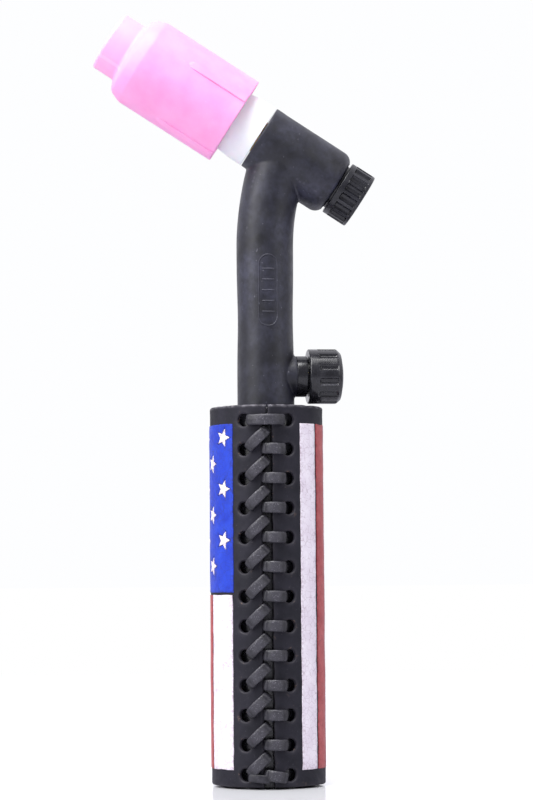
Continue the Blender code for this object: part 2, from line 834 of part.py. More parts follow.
def around(distance, radius, height):
    """A point at this arc length from the seam, positive to +X, and this radius from the handle's axis."""
    angle = distance / HANDLE_RADIUS
    return Vector((radius * math.sin(angle), -radius * math.cos(angle), height))


def leather_wrap():
    """One sheet rolled round the tube, thinned at the laced edges, which stop short of each other."""
    inner = HANDLE_RADIUS - LEATHER_THICKNESS
    skived = HANDLE_RADIUS - SKIVED_THICKNESS
    half_turn = math.pi * HANDLE_RADIUS
    span = half_turn - SEAM_HALF_GAP
    outer_count = 72

    def sweep(radius, start, end, count):
        return [around(start + (end - start) * i / (count - 1), radius, 0.0) for i in range(count)]

    outline = sweep(HANDLE_RADIUS, SEAM_HALF_GAP, SEAM_HALF_GAP + 2.0 * span, outer_count)
    left_step = 2.0 * half_turn - SKIVED_HALF_ARC
    outline += sweep(skived, 2.0 * half_turn - SEAM_HALF_GAP, left_step, 6)
    outline += sweep(inner, left_step, SKIVED_HALF_ARC, outer_count - 12)
    outline += sweep(skived, SKIVED_HALF_ARC, SEAM_HALF_GAP, 6)

    curve = bpy.data.curves.new("leather_outline", "CURVE")
    curve.dimensions = "2D"
    curve.fill_mode = "BOTH"
    bottom = 0.0005
    curve.extrude = (HANDLE_LENGTH - bottom) / 2.0
    spline = curve.splines.new("POLY")
    spline.points.add(len(outline) - 1)
    for spot, point in zip(spline.points, outline):
        spot.co = (point.x, point.y, 0.0, 1.0)
    spline.use_cyclic_u = True
    guide = bpy.data.objects.new("leather_guide", curve)
    CUTTERS.objects.link(guide)
    bpy.context.view_layer.update()
    mesh = bpy.data.meshes.new_from_object(guide.evaluated_get(bpy.context.evaluated_depsgraph_get()))
    bpy.data.objects.remove(guide)
    mesh.transform(Matrix.Translation((0.0, 0.0, (HANDLE_LENGTH + bottom) / 2.0)))
    work = bmesh.new()
    work.from_mesh(mesh)
    bmesh.ops.remove_doubles(work, verts=work.verts, dist=0.00001)
    bmesh.ops.recalc_face_normals(work, faces=work.faces)
    work.to_mesh(mesh)
    work.free()
    wrap = place("leather_wrap", mesh, LACING_FRAME, LEATHER)
    cut(wrap, punched_holes())


def punched_holes():
    """Cutters for both rows of lacing holes: rounded slots that run radially."""
    work = bmesh.new()
    corners = []
    corner_steps = 2
    for quarter in range(4):
        sign_x = 1.0 if quarter in (0, 3) else -1.0
        sign_y = 1.0 if quarter in (0, 1) else -1.0
        centre_x = sign_x * (HOLE_HALF_WIDTH - HOLE_ROUNDING)
        centre_y = sign_y * (HOLE_HALF_HEIGHT - HOLE_ROUNDING)
        for i in range(corner_steps):
            angle = math.radians(90.0 * quarter + 90.0 * i / (corner_steps - 1))
            corners.append(
                (centre_x + HOLE_ROUNDING * math.cos(angle), centre_y + HOLE_ROUNDING * math.sin(angle))
            )
    for row in range(HOLE_ROWS):
        height = TOP_HOLE_Z - row * HOLE_PITCH
        for side in (-1.0, 1.0):
            angle = side * HOLE_ARC / HANDLE_RADIUS
            outward = Matrix.Rotation(angle, 4, "Z") @ Matrix.Translation((0.0, -HANDLE_RADIUS, height))
            near = [work.verts.new(outward @ Vector((x, 0.003, y))) for x, y in corners]
            far = [work.verts.new(outward @ Vector((x, -0.003, y))) for x, y in corners]
            work.faces.new(near)
            work.faces.new(list(reversed(far)))
            for i in range(len(corners)):
                j = (i + 1) % len(corners)
                work.faces.new((near[j], near[i], far[i], far[j]))
    bmesh.ops.recalc_face_normals(work, faces=work.faces)
    mesh = bpy.data.meshes.new("lacing_holes")
    work.to_mesh(mesh)
    work.free()
    return place("lacing_holes", mesh, LACING_FRAME, None)


def lace_path():
    """The lace's centre line, from its top end, as stations of (arc length, radius, height, lean).

    The lean is the direction of the lace's width in the leather's surface, in radians from +Z towards +X. The
    lace bends only across its width, and it twists only where it runs radially. In each row it comes up through
    the left hole, climbs to the seam, goes down between the edges and under the right edge, comes up through the
    right hole, crosses back level to the seam, and runs under the left edge to the row below.
    """
    over = HANDLE_RADIUS + GAP + LACE_THICKNESS / 2.0
    under = TUBE_RADIUS + GAP + LACE_THICKNESS / 2.0
    stations = []

    def bend(distance, height, level, side, lean, outward):
        """A quarter turn between the flat run on one side of a point and the radial line through it."""
        centre_level = level + (LACE_BEND if level == under else -LACE_BEND)
        facing = side * math.copysign(1.0, math.cos(lean))
        quarter = []
        for angle in (0.0, math.pi / 2.0):
            reach = facing * LACE_BEND * (1.0 - math.sin(angle))
            quarter.append(
                (
                    distance + reach * math.cos(lean),
                    centre_level + (level - centre_level) * math.cos(angle),
                    height - reach * math.sin(lean),
                    lean,
                )
            )
        stations.extend(reversed(quarter) if outward else quarter)

    def dive(distance, height, from_level, from_side, from_lean, to_side, to_lean):
        """Down or up through a hole or the seam, with half of the twist at mid-depth."""
        to_level = under if from_level == over else over
        bend(distance, height, from_level, from_side, from_lean, False)
        if from_lean != to_lean:
            stations.append((distance, (over + under) / 2.0, height, (from_lean + to_lean) / 2.0))
        bend(distance, height, to_level, to_side, to_lean, True)

    def run(level, start, end, lean, count):
        """Stations strictly between two (arc length, height) points."""
        for i in range(1, count):
            share = i / count
            distance, height = (low + (high - low) * share for low, high in zip(start, end))
            stations.append((distance, level, height, lean))

    hole = HOLE_ARC
    top = TOP_HOLE_Z
    flat = -math.pi
    stations.append((hole - 0.0036, under, top, flat))
    dive(hole, top, under, -1.0, flat, -1.0, flat)
    run(over, (hole, top), (-hole, top), flat, 4)
    dive(-hole, top, over, 1.0, flat, 1.0, flat)
    turn_steps = 7
    for i in range(turn_steps + 1):
        angle = math.pi * i / turn_steps
        distance = LACE_TURN_START - hole + LACE_TURN_WIDTH * math.sin(angle)
        height = top - HOLE_PITCH / 2.0 * (1.0 - math.cos(angle))
        stations.append((distance, under, height, flat + angle))

    climb = math.atan2(LACE_RISE, hole)
    drop = math.atan2(HOLE_PITCH, hole)
    arriving = 0.0
    for row in range(1, HOLE_ROWS):
        height = top - row * HOLE_PITCH
        crest = height + LACE_RISE
        leaving = 0.0 if row == HOLE_ROWS - 1 else -drop
        dive(-hole, height, under, 1.0, arriving, 1.0, -climb)
        run(over, (-hole, height), (0.0, crest), -climb, 2)
        dive(0.0, crest, over, -1.0, -climb, 1.0, climb)
        run(under, (0.0, crest), (hole, height), climb, 2)
        dive(hole, height, under, -1.0, climb, -1.0, 0.0)
        run(over, (hole, height), (0.0, height), 0.0, 2)
        dive(0.0, height, over, 1.0, 0.0, -1.0, leaving)
        if leaving:
            run(under, (0.0, height), (-hole, height - HOLE_PITCH), leaving, 3)
        arriving = leaving
    stations.append((-0.0030, under, height, 0.0))
    return stations


def lace():
    """A flat thong lofted along its path, with its width lying in the leather's surface."""
    stations = lace_path()
    centres = [around(distance, radius, height) for distance, radius, height, lean in stations]
    work = bmesh.new()
    rings = []
    for i, (distance, radius, height, lean) in enumerate(stations):
        before = centres[max(i - 1, 0)]
        after = centres[min(i + 1, len(centres) - 1)]
        ahead = (after - before).normalized()
        angle = distance / HANDLE_RADIUS
        eastward = Vector((math.cos(angle), math.sin(angle), 0.0))
        across = eastward * math.sin(lean) + Vector((0.0, 0.0, 1.0)) * math.cos(lean)
        across = (across - ahead * across.dot(ahead)).normalized()
        out = across.cross(ahead)
        half = across * LACE_WIDTH / 2.0
        rise = out * LACE_THICKNESS / 2.0
        corners = [half + rise, half - rise, -half - rise, -half + rise]
        rings.append([work.verts.new(centres[i] + corner) for corner in corners])
    for first, second in zip(rings, rings[1:]):
        for i in range(4):
            j = (i + 1) % 4
            work.faces.new((first[i], first[j], second[j], second[i]))
    work.faces.new(rings[0])
    work.faces.new(list(reversed(rings[-1])))
    bmesh.ops.recalc_face_normals(work, faces=work.faces)
    mesh = bpy.data.meshes.new("lace")
    work.to_mesh(mesh)
    work.free()
    place("lace", mesh, LACING_FRAME, LACE_LEATHER)


def apply_and_shade():
    """Every piece's modifiers are applied, then it is shaded smooth up to its sharp edges."""
    graph = bpy.context.evaluated_depsgraph_get()
    pieces = [obj for obj in TORCH.objects if obj.type == "MESH"]
    meshes = [bpy.data.meshes.new_from_object(obj.evaluated_get(graph)) for obj in pieces]
    for obj, mesh in zip(pieces, meshes):
        obj.modifiers.clear()
        obj.data = mesh
        mesh.shade_smooth()
        mesh.set_sharp_from_angle(angle=math.radians(SHARP_ANGLE))
    for cutter in list(CUTTERS.objects):
        bpy.data.objects.remove(cutter)
    bpy.data.collections.remove(CUTTERS)


torch_jacket()
head_sleeve()
copper_tubes()
tail_fitting()
gas_cup()
cup_insulator()
gas_lens()
collet_and_electrode()
back_cap()
valve_block()
valve_trim()
handle_tube()
leather_wrap()
lace()
apply_and_shade()
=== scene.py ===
"""The finished TIG torch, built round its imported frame.

The frame is in metres, +Z up along the handle. Shapes here are in millimetres, in one of three frames.
HEAD's Z is the head's axis and points out of the gas cup, its X points up, and its -Y faces the laced side.
VALVE's Z is the valve's axis and points out of the neck. HANDLE's Z is the handle's axis.
"""

import json
from math import asin, ceil, copysign, cos, degrees, exp, hypot, pi, radians, sin, sqrt, tan

import bmesh
import bpy
import numpy as np
from mathutils import Matrix, Vector, geometry, noise


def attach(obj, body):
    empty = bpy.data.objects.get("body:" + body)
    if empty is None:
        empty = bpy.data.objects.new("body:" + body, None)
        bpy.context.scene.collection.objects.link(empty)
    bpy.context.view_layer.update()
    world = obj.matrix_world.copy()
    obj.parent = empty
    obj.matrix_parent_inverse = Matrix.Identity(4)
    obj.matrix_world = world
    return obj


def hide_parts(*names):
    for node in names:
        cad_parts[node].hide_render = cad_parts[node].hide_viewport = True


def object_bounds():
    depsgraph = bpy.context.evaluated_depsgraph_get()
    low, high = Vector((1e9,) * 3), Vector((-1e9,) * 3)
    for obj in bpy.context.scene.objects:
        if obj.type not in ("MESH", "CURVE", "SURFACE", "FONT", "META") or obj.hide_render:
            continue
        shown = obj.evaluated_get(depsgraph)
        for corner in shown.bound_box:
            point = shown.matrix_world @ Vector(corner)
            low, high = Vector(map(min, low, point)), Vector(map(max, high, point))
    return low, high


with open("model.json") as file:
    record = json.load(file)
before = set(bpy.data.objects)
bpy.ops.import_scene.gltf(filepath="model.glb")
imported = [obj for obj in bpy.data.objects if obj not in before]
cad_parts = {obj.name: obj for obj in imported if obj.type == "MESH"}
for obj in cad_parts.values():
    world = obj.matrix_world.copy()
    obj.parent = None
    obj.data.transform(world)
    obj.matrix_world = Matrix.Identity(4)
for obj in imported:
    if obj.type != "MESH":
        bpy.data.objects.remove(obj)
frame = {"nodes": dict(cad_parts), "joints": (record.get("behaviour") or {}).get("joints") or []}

CAD_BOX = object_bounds()
MM = 0.001
TURN = 2.0 * pi


# ---------------- frames and sizes from the CAD


def joint_frame(name):
    """The joint's place and axis: Z is the axis, and Y is world +Y."""
    joint = next(j for j in frame["joints"] if j["name"] == name)
    z = Vector(joint["axis"]).normalized()
    y = Vector((0.0, 1.0, 0.0))
    turn = Matrix((y.cross(z), y, z)).transposed().to_4x4()
    return Matrix.Translation(joint["pos_m"]) @ turn


HEAD = joint_frame("front_end_turn")
VALVE = joint_frame("valve_turn")
HANDLE = Matrix.Translation((VALVE.translation.x, 0.0, 0.0))
LACING_TURN = radians(-6.5)
LACING = HANDLE @ Matrix.Rotation(LACING_TURN, 4, "Z")


def span(node, home):
    """(low, high, radius) of a CAD node along and about the frame's Z, in millimetres."""
    inverse = home.inverted()
    points = np.array([inverse @ v.co for v in frame["nodes"][node].data.vertices]) / MM
    return points[:, 2].min(), points[:, 2].max(), np.hypot(points[:, 0], points[:, 1]).max()


# ---------------- mesh tools


def ease(x, low, high):
    """0 below low, 1 above high, and a smooth rise between them."""
    t = np.clip((x - low) / (high - low), 0.0, 1.0)
    return t * t * (3.0 - 2.0 * t)


def linked(name, data):
    """An object of the data, in the scene."""
    made = bpy.data.objects.new(name, data)
    bpy.context.scene.collection.objects.link(made)
    return made


def object_of(name, vertices, faces, home, finish, sharp=40.0):
    """A closed mesh in millimetres of the frame, as a smooth-shaded object with its faces pointing out."""
    mesh = bpy.data.meshes.new(name)
    mesh.from_pydata([Vector(v) * MM for v in vertices], [], faces)
    work = bmesh.new()
    work.from_mesh(mesh)
    bmesh.ops.recalc_face_normals(work, faces=work.faces)
    work.to_mesh(mesh)
    work.free()
    mesh.shade_smooth()
    mesh.set_sharp_from_angle(angle=radians(sharp))
    mesh.materials.append(finish)
    made = linked(name, mesh)
    made.matrix_world = home
    return made


def install(piece, body, slot, *nodes):
    """The piece moves with the body and stands for the CAD nodes, which are hidden. The slot is not used."""
    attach(piece, body)
    if nodes:
        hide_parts(*nodes)
    return piece


def outline(corners, closed):
    """Points of an outline given as corners (radius, height, rounding), each rounded corner as an arc."""
    points = []
    count = len(corners)
    for i, (radius, height, rounding) in enumerate(corners):
        here = Vector((radius, height))
        if not rounding or (not closed and i in (0, count - 1)):
            points.append(here)
            continue
        before = (Vector(corners[i - 1][:2]) - here).normalized()
        after = (Vector(corners[(i + 1) % count][:2]) - here).normalized()
        half = before.angle(after) / 2.0
        centre = here + (before + after).normalized() * rounding / sin(half)
        start = here + before * rounding / tan(half) - centre
        end = here + after * rounding / tan(half) - centre
        turn = start.angle_signed(end)
        steps = max(3, ceil(abs(degrees(turn)) / 12.0))
        points += [centre + Matrix.Rotation(-turn * k / steps, 2) @ start for k in range(steps + 1)]
    return points


def dense(points, step, closed):
    """The same outline with points added so that none are more than a step apart."""
    result = []
    last = len(points) if closed else len(points) - 1
    for i in range(last):
        a, b = points[i], points[(i + 1) % len(points)]
        pieces = max(1, ceil((b - a).length / step))
        result += [a.lerp(b, k / pieces) for k in range(pieces)]
    return result if closed else result + [points[-1]]


def even_angles(count):
    """This many angles, evenly spaced all round."""
    return np.linspace(0.0, TURN, count, endpoint=False)


def lathe(name, corners, home, finish, relief=None, angles=None, step=0.45):
    """A turned solid. Corners that start and end on the axis make it solid, and any others make a ring.

    relief(radius, height, angles) gives the heights to add to the radius, for ribs, grooves and threads.
    """
    closed = corners[0][0] > 0.0
    points = outline(corners, closed)
    if relief:
        points = dense(points, step, closed)
    if angles is None:
        angles = even_angles(128)
    count = len(angles)
    vertices = []
    rows = []
    for radius, height in points:
        if radius < 1e-6:
            rows.append([len(vertices)] * count)
            vertices.append((0.0, 0.0, height))
            continue
        out = radius + (relief(radius, height, angles) if relief else 0.0 * angles)
        rows.append(list(range(len(vertices), len(vertices) + count)))
        vertices += zip(out * np.cos(angles), out * np.sin(angles), [height] * count)
    faces = []
    for a, b in zip(rows, rows[1:] + rows[:1] if closed else rows[1:]):
        for k in range(count):
            n = (k + 1) % count
            quad = list(dict.fromkeys((a[k], a[n], b[n], b[k])))
            if len(quad) > 2:
                faces.append(quad)
    return object_of(name, vertices, faces, home, finish)


def loft(rings, closed=False):
    """(vertices, faces) through rings of equal length: a bar with two flat ends, or a closed loop."""
    count = len(rings[0])
    vertices = [point for ring in rings for point in ring]
    last = len(rings) - 1
    faces = [] if closed else [list(range(count)), list(range(last * count, len(vertices)))]
    for i in range(len(rings) if closed else last):
        a, b = i * count, (i + 1) % len(rings) * count
        for k in range(count):
            n = (k + 1) % count
            faces.append((a + k, a + n, b + n, b + k))
    return vertices, faces


def merged(parts):
    """Several (vertices, faces) as one."""
    vertices, faces = [], []
    for more, corners in parts:
        faces += [[i + len(vertices) for i in face] for face in corners]
        vertices += list(more)
    return vertices, faces


def modified(obj):
    """Applies the object's modifiers to its mesh."""
    graph = bpy.context.evaluated_depsgraph_get()
    graph.update()
    mesh = bpy.data.meshes.new_from_object(obj.evaluated_get(graph))
    obj.modifiers.clear()
    obj.data = mesh


def boolean(obj, other, operation):
    modifier = obj.modifiers.new("boolean", "BOOLEAN")
    modifier.object = other
    modifier.operation = operation
    modified(obj)
    bpy.data.objects.remove(other)


# ---------------- materials


def feed(tree, node, values):
    """Sets or links the node's inputs, by name or number, and returns its outputs."""
    for key, value in values.items():
        if isinstance(value, bpy.types.NodeSocket):
            tree.links.new(value, node.inputs[key])
        else:
            node.inputs[key].default_value = value
    return node.outputs


class Finish:
    """A procedural material. Its textures are laid out in millimetres of the piece's own space."""

    def __init__(self, name, metallic=0.0):
        self.material = bpy.data.materials.new(name)
        self.material.use_nodes = True
        self.tree = self.material.node_tree
        self.shader = self.tree.nodes["Principled BSDF"]
        self.shader.inputs["Metallic"].default_value = metallic
        values = {"Vector": self.tree.nodes.new("ShaderNodeTexCoord").outputs["Object"], "Scale": 1.0 / MM}
        self.place = self.node("ShaderNodeVectorMath", "Vector", values, "SCALE")
        self.relief = None

    def node(self, kind, output, values, operation=None):
        """Adds a node and returns one of its outputs."""
        made = self.tree.nodes.new(kind)
        if operation:
            made.operation = operation
        return feed(self.tree, made, values)[output]

    def noise(self, size, detail=3.0, stretch=None):
        """Cloudy noise, 0 to 1, whose features are about this size in millimetres."""
        place = self.place
        if stretch:
            place = self.node("ShaderNodeVectorMath", "Vector", {0: place, 1: stretch}, "MULTIPLY")
        values = {"Vector": place, "Scale": 1.0 / size, "Detail": detail, "Roughness": 0.55}
        return self.node("ShaderNodeTexNoise", "Fac", values)

    def patches(self, size, low, high, detail=3.0, stretch=None):
        """Noise as patches: 0 where it is below low, and 1 where it is above high."""
        return self.ramp(self.noise(size, detail, stretch), low, high)

    def uneven(self, size, low, high, detail=3.0):
        """A value that wanders between low and high."""
        return self.ramp(self.noise(size, detail), 0.3, 0.7, low, high)

    def cells(self, size, feature="F1"):
        """A distance that repeats in cells of about this size."""
        made = self.tree.nodes.new("ShaderNodeTexVoronoi")
        made.feature = feature
        return feed(self.tree, made, {"Scale": 1.0 / size, "Vector": self.place})["Distance"]

    def rings(self, size):
        """Fine turning marks round the piece's axis."""
        made = self.tree.nodes.new("ShaderNodeTexWave")
        made.bands_direction = "Z"
        values = {"Scale": 1.0 / (size * 6.0), "Distortion": 0.3, "Vector": self.place}
        return feed(self.tree, made, values)["Fac"]

    def attribute(self, name):
        made = self.tree.nodes.new("ShaderNodeAttribute")
        made.attribute_name = name
        return made.outputs["Fac"]

    def edges(self, low=0.52, high=0.60):
        """1 on convex edges, where handling wears the surface. Given low above high, it is 1 in hollows
        instead, for painted shade.
        """
        point = self.tree.nodes.new("ShaderNodeNewGeometry").outputs["Pointiness"]
        return self.ramp(point, low, high)

    def towards(self, low, high):
        """0 below one height on the piece's Z axis and 1 above another, in millimetres."""
        return self.ramp(self.node("ShaderNodeSeparateXYZ", "Z", {"Vector": self.place}), low, high)

    def ramp(self, value, low, high, start=0.0, end=1.0):
        values = {"Value": value, "From Min": low, "From Max": high, "To Min": start, "To Max": end}
        return self.node("ShaderNodeMapRange", "Result", values)

    def maths(self, operation, a, b):
        return self.node("ShaderNodeMath", "Value", {0: a, 1: b}, operation)

    def times(self, a, b):
        return self.maths("MULTIPLY", a, b)

    def mix(self, share, a, b):
        """Colour a, with this share of colour b over it."""
        made = self.tree.nodes.new("ShaderNodeMix")
        made.data_type = "RGBA"
        a, b = [(*colour, 1.0) if isinstance(colour, tuple) else colour for colour in (a, b)]
        return feed(self.tree, made, {0: share, 6: a, 7: b})[2]

    def over(self, colour, tint, mask, share):
        """The colour, with up to this share of the tint over it where the mask is 1."""
        return self.mix(self.times(mask, share), colour, tint)

    def bump(self, height, depth, strength):
        """Adds surface relief of this depth in millimetres."""
        values = {"Height": height, "Distance": depth * MM, "Strength": strength}
        if self.relief:
            values["Normal"] = self.relief
        self.relief = self.node("ShaderNodeBump", "Normal", values)

    def done(self, colour, roughness, **others):
        """Links the colour, the roughness and the relief, and returns the material."""
        self.tree.links.new(colour, self.shader.inputs["Base Color"])
        self.tree.links.new(roughness, self.shader.inputs["Roughness"])
        if self.relief:
            self.tree.links.new(self.relief, self.shader.inputs["Normal"])
        for key, value in others.items():
            self.shader.inputs[key.replace("_", " ")].default_value = value
        return self.material


def moulded_rubber():
    """Black rubber with a greyish bloom, fine specks and short scuffs."""
    f = Finish("moulded_rubber")
    bloom = f.times(f.patches(9.0, 0.35, 0.75, 4.0), f.patches(1.5, 0.15, 0.6))
    colour = f.mix(bloom, (0.0032, 0.0032, 0.0068), (0.034, 0.035, 0.060))
    for size, stretch in ((0.7, (1.0, 1.0, 0.4)), (0.5, (0.5, 1.0, 1.0))):
        scuffs = f.patches(size, 0.735, 0.79, 2.0, stretch)
        colour = f.over(colour, (0.24, 0.24, 0.29), scuffs, 0.5)
    specks = f.times(f.ramp(f.cells(2.6), 0.07, 0.03), f.patches(9.0, 0.5, 0.6))
    colour = f.over(colour, (0.30, 0.30, 0.34), specks, 0.45)
    colour = f.over(colour, (0.08, 0.08, 0.11), f.edges(), 0.3)
    f.bump(f.noise(0.22), 0.05, 0.5)
    f.bump(f.noise(2.5, 2.0), 0.12, 0.4)
    return f.done(colour, f.uneven(4.0, 0.38, 0.54), Specular_IOR_Level=0.50)


def glossy_phenolic(name, base, shine):
    """Pressed phenolic with handling haze, painted shade in its grooves, worn edges and fine scratches."""
    f = Finish(name)
    haze = f.patches(3.5, 0.4, 0.75, 4.0)
    colour = f.mix(haze, base, tuple(1.9 * c + 0.004 for c in base))
    # Painted shade: the hollows of the grooves are mixed towards near-black.
    colour = f.mix(f.edges(0.49, 0.43), colour, (0.0015, 0.0015, 0.002))
    colour = f.over(colour, (0.11, 0.11, 0.13), f.edges(), 0.4)
    f.bump(f.noise(0.35, 2.0), 0.02, 0.4)
    f.bump(f.patches(0.5, 0.62, 0.75, 2.0, (1.0, 1.0, 0.1)), 0.02, 0.3)
    return f.done(colour, f.ramp(haze, 0.0, 1.0, shine, shine + 0.18))


def pink_alumina():
    """Pressed and fired pink alumina: fine grain, faint blotches, a little light through it, and a painted
    highlight that makes the outlet end paler.
    """
    f = Finish("pink_alumina")
    colour = f.mix(f.patches(7.0, 0.3, 0.7), (0.93, 0.33, 0.66), (0.97, 0.40, 0.72))
    colour = f.over(colour, (0.99, 0.62, 0.84), f.patches(0.45, 0.66, 0.74, 2.0), 0.25)
    colour = f.over(colour, (1.0, 0.66, 0.88), f.edges(0.53, 0.62), 0.4)
    # Painted highlight: the outlet end is made a paler pink, standing in for the light that falls brightest
    # there.
    colour = f.over(colour, (0.98, 0.62, 0.86), f.towards(43.0, 48.0), 0.35)
    f.bump(f.noise(0.16), 0.03, 0.4)
    f.bump(f.noise(1.6, 2.0), 0.05, 0.25)
    return f.done(colour, f.uneven(2.0, 0.44, 0.58), Subsurface_Weight=0.15, Subsurface_Scale=0.8 * MM)


def white_ptfe():
    """Turned PTFE: waxy white with fine turning marks."""
    f = Finish("white_ptfe")
    colour = f.mix(f.patches(3.0, 0.35, 0.7), (0.93, 0.94, 0.97), (0.97, 0.97, 0.99))
    f.bump(f.rings(0.35), 0.02, 0.35)
    f.bump(f.noise(0.6), 0.02, 0.3)
    return f.done(colour, f.uneven(1.5, 0.30, 0.44), Subsurface_Weight=0.25, Subsurface_Scale=1.2 * MM)


def turned_metal(name, bright, dull, shine):
    """Machined metal with turning marks, uneven tarnish and polished edges."""
    f = Finish(name, metallic=1.0)
    tarnish = f.patches(2.8, 0.4, 0.72, 4.0)
    colour = f.mix(tarnish, bright, dull)
    colour = f.over(colour, tuple(min(1.0, 1.15 * c) for c in bright), f.edges(), 0.5)
    f.bump(f.rings(0.18), 0.015, 0.5)
    f.bump(f.noise(0.5), 0.02, 0.25)
    return f.done(colour, f.ramp(tarnish, 0.0, 1.0, shine, shine + 0.2))


def seal_rubber():
    f = Finish("seal_rubber")
    colour = f.mix(f.patches(0.8, 0.4, 0.7), (0.012, 0.012, 0.013), (0.03, 0.03, 0.032))
    f.bump(f.noise(0.2), 0.02, 0.5)
    return f.done(colour, f.uneven(1.0, 0.42, 0.6))


def leather_grain(f, size):
    """Pebbled grain with creases between the pebbles, and pores."""
    f.bump(f.cells(size, "DISTANCE_TO_EDGE"), 0.06, 0.35)
    f.bump(f.noise(0.28, 4.0), 0.06, 0.5)
    f.bump(f.noise(3.0), 0.15, 0.35)


def wrap_leather():
    """Dyed black leather. The attribute rim is 1 at a cut edge, where it is burnished and scuffed."""
    f = Finish("wrap_leather")
    colour = f.mix(f.patches(6.0, 0.35, 0.75, 4.0), (0.0058, 0.0055, 0.0110), (0.0145, 0.0132, 0.0225))
    colour = f.over(colour, (0.14, 0.13, 0.15), f.patches(0.5, 0.66, 0.76), 0.3)
    rim = f.attribute("rim")
    colour = f.over(colour, (0.060, 0.055, 0.065), rim, 0.25)
    colour = f.over(colour, (0.20, 0.13, 0.095), f.times(rim, f.patches(1.3, 0.63, 0.70, 4.0)), 0.7)
    worn_top = f.times(f.towards(104.1, 104.8), f.patches(1.4, 0.42, 0.62, 4.0))
    colour = f.over(colour, (0.24, 0.23, 0.26), worn_top, 0.55)
    leather_grain(f, 0.7)
    roughness = f.maths("SUBTRACT", f.uneven(1.8, 0.55, 0.70), f.times(rim, 0.14))
    return f.done(colour, roughness, Specular_IOR_Level=0.30)


def lace_leather():
    """Black leather lacing with a dull sheen. The attribute crown is 1 where it is highest, which wears most
    and carries a painted highlight.
    """
    f = Finish("lace_leather")
    colour = f.mix(f.patches(1.4, 0.35, 0.75, 4.0), (0.010, 0.0095, 0.014), (0.030, 0.028, 0.038))
    crown = f.attribute("crown")
    # Lighter flecks on each strand's high middle: partly wear from rubbing, partly a painted highlight.
    rubbed_and_highlit = f.times(f.ramp(crown, 0.35, 0.95), f.patches(0.32, 0.58, 0.70))
    colour = f.over(colour, (0.26, 0.25, 0.29), rubbed_and_highlit, 0.75)
    # Painted highlight: the high middle of each strand is lighter, and its ends, where it dips into the
    # holes, stay dark as painted shade.
    colour = f.over(colour, (0.085, 0.082, 0.100), f.ramp(crown, 0.2, 1.0), 0.30)
    f.bump(f.noise(0.55, 4.0), 0.16, 0.7)
    f.bump(f.noise(0.18), 0.06, 0.6)
    return f.done(colour, f.uneven(1.0, 0.28, 0.48, 4.0))


def leather_paint(name, base, pale, speck):
    """Leather paint with fine crackle, faded blotches and specks of the leather showing through."""
    f = Finish(name)
    colour = f.mix(f.patches(4.0, 0.35, 0.7, 4.0), base, pale)
    crackle = f.times(f.ramp(f.cells(1.5, "DISTANCE_TO_EDGE"), 0.050, 0.0), f.patches(2.6, 0.36, 0.56))
    chipped_rim = f.times(f.attribute("rim"), f.patches(0.8, 0.45, 0.6))
    for mask, share in ((crackle, 0.5), (f.patches(0.36, 0.665, 0.73, 2.0), 0.6), (chipped_rim, 0.5)):
        colour = f.over(colour, speck, mask, share)
    leather_grain(f, 1.1)
    return f.done(colour, f.uneven(1.5, 0.42, 0.58), Specular_IOR_Level=0.32)


RUBBER = moulded_rubber()
PHENOLIC = glossy_phenolic("phenolic", (0.010, 0.010, 0.013), 0.17)
CAP_PHENOLIC = glossy_phenolic("cap_phenolic", (0.0075, 0.0075, 0.011), 0.28)
ALUMINA = pink_alumina()
PTFE = white_ptfe()
BRASS = turned_metal("brass", (0.86, 0.64, 0.30), (0.56, 0.38, 0.17), 0.22)
COPPER = turned_metal("copper", (0.86, 0.48, 0.33), (0.50, 0.25, 0.16), 0.26)
STEEL = turned_metal("stainless_steel", (0.66, 0.66, 0.66), (0.42, 0.42, 0.43), 0.28)
TUNGSTEN = turned_metal("tungsten", (0.50, 0.50, 0.53), (0.30, 0.30, 0.33), 0.30)
SEAL = seal_rubber()
LEATHER = wrap_leather()
LACE = lace_leather()
BLUE = leather_paint("blue_paint", (0.007, 0.033, 0.43), (0.014, 0.056, 0.54), (0.02, 0.02, 0.05))
RED = leather_paint("red_paint", (0.36, 0.052, 0.057), (0.46, 0.098, 0.102), (0.10, 0.02, 0.02))
WHITE = leather_paint("white_paint", (0.74, 0.67, 0.76), (0.84, 0.79, 0.86), (0.30, 0.19, 0.25))


# ---------------- gas cup and insulator

CUP_RADIUS = 13.0
OUTLET_RADIUS = 8.7
OUTLET_LENGTH = 6.8
SHOULDER_LENGTH = 4.6
MOUTH_RADIUS = 6.35
CUP_BORE = 9.8
RIBS = 4
RIB_LENGTH = 18.5
RIB_HALF_WIDTH = 1.1
RIB_HEIGHT = 0.5
RIB_START = radians(-70.0)


def around(count, start, half_angle, fine):
    """Angles for a lathe: even all round, and finer within half_angle of each of count even marks."""
    closest = 0.0015
    angles = list(even_angles(180))
    for i in range(count):
        centre = start + TURN * i / count
        angles += list(centre + np.linspace(-half_angle, half_angle, fine))
    angles = np.unique(np.mod(angles, TURN))
    return angles[np.diff(angles, append=angles[0] + TURN) > closest]


def from_mark(angles, count, start):
    """The angle from the nearest of count evenly spaced marks."""
    pitch = TURN / count
    return np.mod(angles - start + pitch / 2.0, pitch) - pitch / 2.0


